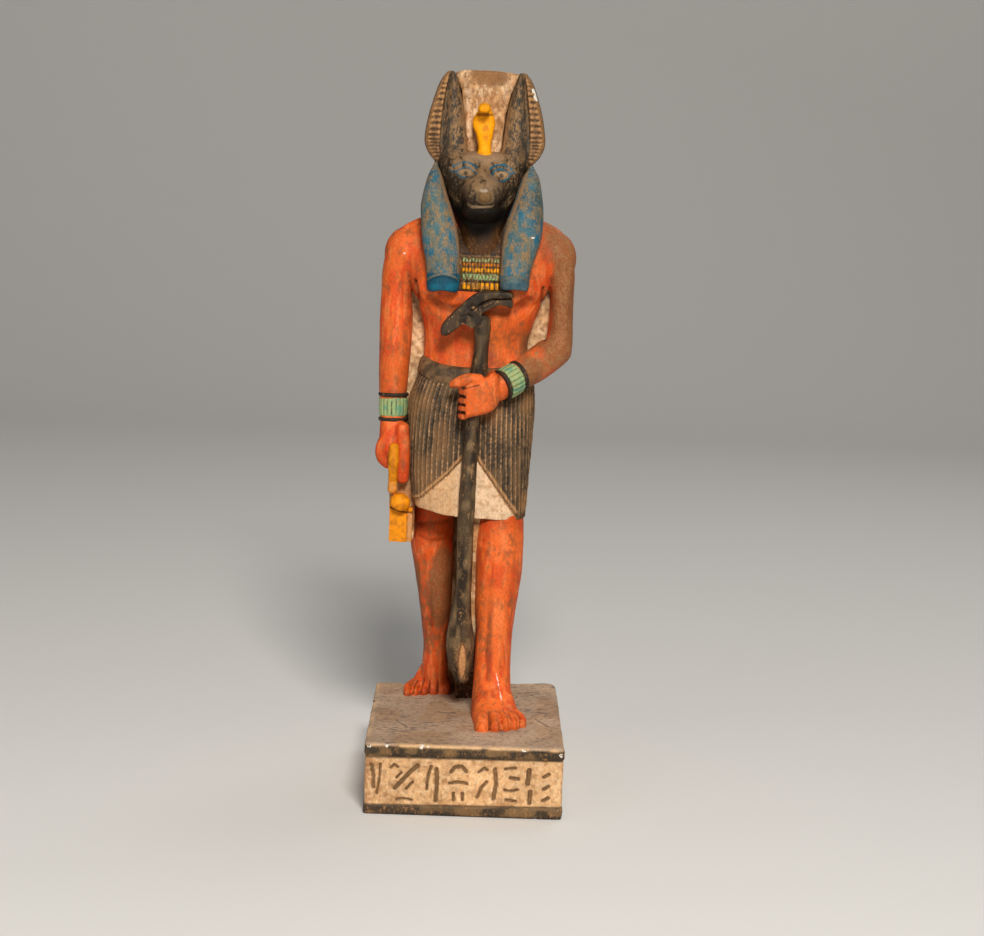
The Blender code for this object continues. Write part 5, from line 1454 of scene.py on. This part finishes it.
def make_staff(stone):
    clay = melt(staff_forms(), 0.52)
    clay.relax(2)
    clay.roughen(0.08, 0.16, 0.3)
    groove = line_distance(clay.points[:, [0, 2]], [(-2.1, 258.6), (2.0, 261.8), (6.7, 263.5), (20.3, 264.0)])
    cut = ease(groove, 0.9, 0.3) * ease(clay.points[:, 1], 20, 16)
    loop = line_distance(clay.points[:, [0, 2]], [(-7.5, 257.8), (-4.8, 259.9), (-1.9, 258.4), (-4.7, 255.9),
                                                  (-7.5, 257.8)])
    cut = np.maximum(cut, ease(loop, 0.7, 0.2) * ease(clay.points[:, 1], 20, 16))
    jaw = line_distance(clay.points[:, [0, 2]], [(-11.5, 251.9), (-7.9, 253.8), (-4.3, 252.0)])
    cut = np.maximum(cut, ease(jaw, 0.7, 0.2) * ease(clay.points[:, 1], 20, 16))
    clay.points[:, 1] += 0.7 * cut
    p = clay.points
    slot = ease(np.hypot((p[:, 0] + 3.6) / 3.0, (p[:, 2] - 33) / 13.5), 1.05, 0.8) * ease(p[:, 1], 12, 8)
    p[:, 1] += 1.6 * slot
    bend = clay.bend(2)
    paint = mix(shade(84, 66, 46), CREAM, slot)
    paint = mix(paint, shade(40, 32, 25), 0.85 * ease(grain(p, 6, 97, (1, 1, 3)), 0.45, 0.7) * (1 - slot))
    paint = mix(paint, shade(128, 104, 72), 0.7 * ease(grain(p, 3.4, 48, (1, 1, 2.2)), 0.5, 0.75) * (1 - slot))
    hook = line_distance(p[:, [0, 2]], [(-10.6, 247.4), (-7.6, 245.9), (-4.6, 244.9)])
    paint = mix(paint, CREAM, 0.9 * ease(hook, 1.0, 0.5) * (1 - cut))
    crest = ease(bend, 0.02, 0.06)
    wear = 0.32 + 0.14 * crest - 0.08 * slot - 0.08 * ease(p[:, 2], 220, 230)
    paint = mix(paint, shade(44, 36, 30), 0.4 * ease(p[:, 2], 222, 232))
    piece("staff", clay, paint, shade(164, 122, 82), wear, stone,
          grime_and_shade=0.7 * np.maximum(cut, ease(bend, -0.02, -0.06)))


def make_sign(stone):
    sign = [
        tube([(-51.6, 26.6, 166, 3.4, 3.8), (-51.6, 25.2, 158, 3.6, 3.8), (-51.6, 25.6, 148.4, 2.9, 3.4),
              (-51.8, 27, 139, 3.2, 3.6)], power=2.4),
        tube([(-51.6, 53, 160, 3.2, 3.6), (-51.6, 54.5, 150, 3.3, 3.6), (-51.8, 50, 136, 3.2, 3.6)], power=2.4),
        tube([(-46.6, 23.0, 131.0, 6.2, 5.6), (-48, 40, 131, 6, 5), (-48, 58, 131, 6.6, 5.8)], power=2.2),
        block((-53.6, 26.5, 105.0), (-42.2, 50.0, 130.0)), block((-43.4, 28.0, 105.0), (-38.8, 50.0, 127.0))]
    clay = melt(sign, 0.5)
    clay.relax(4)
    # A groove under the boss, painted dark through the grime values as its shadow.
    under_boss = carve(clay, ((-52.6, 127.2), (-46.0, 124.8), (-39.0, 123.6)), 1.2, 0.7, lambda q: q[:, 1] < 34)
    clay.roughen(0.15, 0.4, 0.7)
    p = clay.points
    worn = (ease(p[:, 0], -42.4, -41.4) * ease(p[:, 2], 124, 122) + 0.5 * ease(p[:, 2], 136, 139)
            * ease(p[:, 2], 145, 142))
    worn = np.clip(worn, 0, 1)
    paint = mix(shade(240, 146, 6), YELLOW_DEEP, 0.7 * ease(grain(p, 2.6, 47), 0.5, 0.75))
    paint = mix(paint, CREAM, worn)
    piece("looped_sign", clay, paint, YELLOW_DEEP, 0.34 + 0.1 * worn, stone,
          grime_and_shade=np.clip(0.5 * ease(clay.bend(2), -0.02, -0.05) + 0.45 * under_boss, 0, 1))


def make_uraeus(stone):
    clay = melt(uraeus_forms(), 0.45)
    clay.relax(2)
    p = clay.points
    # A groove under the cobra's head, painted dark as the head's shadow.
    neck = ease(np.abs(p[:, 2] - 377.6), 1.4, 0.5) * ease(p[:, 1], 46, 42)
    clay.push(-0.5 * neck)
    worn = ease(np.hypot((p[:, 0] + 0.6) / 3.0, (p[:, 2] - 366) / 7.0), 1.1, 0.4) * ease(p[:, 1], 49, 46)
    low = ease(p[:, 2], 356, 353) * ease(grain(p, 3.0, 92), 0.4, 0.6)
    worn = np.maximum(worn * (0.35 + 0.65 * ease(grain(p, 3.0, 98), 0.3, 0.6)), 0.7 * low)
    paint = mix(YELLOW, YELLOW_DEEP, 0.75 * worn)
    piece("uraeus", clay, paint, YELLOW_DEEP, 0.30, stone, grime_and_shade=0.7 * neck)


def make_bands(stone):
    for name, band in (
            ("right_wristband", wristband((-53.6, 43, 199.5), (-53.4, 42.2, 181.0), (9.6, 10.9), (9.3, 10.5),
                                          (1, 0, 0))),
            ("left_wristband", wristband((26.4, 20.0, 215.4), (14.6, 12.4, 208.8), (10.3, 10.3), (10.4, 10.2),
                                         (0, 0, 1),
                                         square_to=(0.78, 0.53, 0.33)))):
        rims, beads = band
        clay = melt(rims + [beads], 0.42)
        p = clay.points
        is_rim = ease(distance(p, rims, 2.0), 0.4, 0.2)
        bend = clay.bend(1)
        paint = mix(GREEN, TURQUOISE, ease(grain(p, 3.4, 101), 0.5, 0.7) * 0.6)
        paint = mix(paint, shade(70, 62, 44), ease(bend, 0.0, -0.04) * (1 - is_rim))
        paint = mix(paint, shade(58, 48, 38), is_rim)
        piece(name, clay, paint, TAN, 0.30, stone, grime_and_shade=0.3 * is_rim)


def make_collar(stone):
    plate, beads = collar_forms(torso_forms())
    clay = melt([plate] + [form for form, _ in beads], 0.42)
    paint = shade(96, 62, 36)
    for kind, colour in enumerate((GREEN, ORANGE, YELLOW)):
        away = distance(clay.points, [form for form, k in beads if k == kind], 1.5)
        paint = mix(paint, colour, ease(away, 0.35, 0.15))
    p = clay.points
    paint = mix(paint, shade(122, 88, 48), 0.75 * ease(grain(p, 1.8, 102), 0.48, 0.68))
    for z, half, count, kind in COLLAR_ROWS:
        phase = (p[:, 0] + 12.2) / 23.4 * count - 0.12 * (p[:, 2] - z) * (kind == 0)
        gap = ease(np.abs(phase % 1 - 0.5), 0.30, 0.44) * ease(np.abs(p[:, 2] - z), half + 0.6, half)
        gap = np.maximum(gap, ease(np.abs(np.abs(p[:, 2] - z) - half), 0.5, 0.1))
        paint = mix(paint, shade(66, 50, 30), 0.85 * gap)
    for z in (290.4, 273.4, 267.7):
        paint = mix(paint, shade(40, 34, 26), ease(np.abs(p[:, 2] - z), 0.7, 0.4))
    piece("collar", clay, paint, TAN, 0.34, stone, grime_and_shade=0.6 * ease(clay.bend(1), -0.01, -0.04))


main()
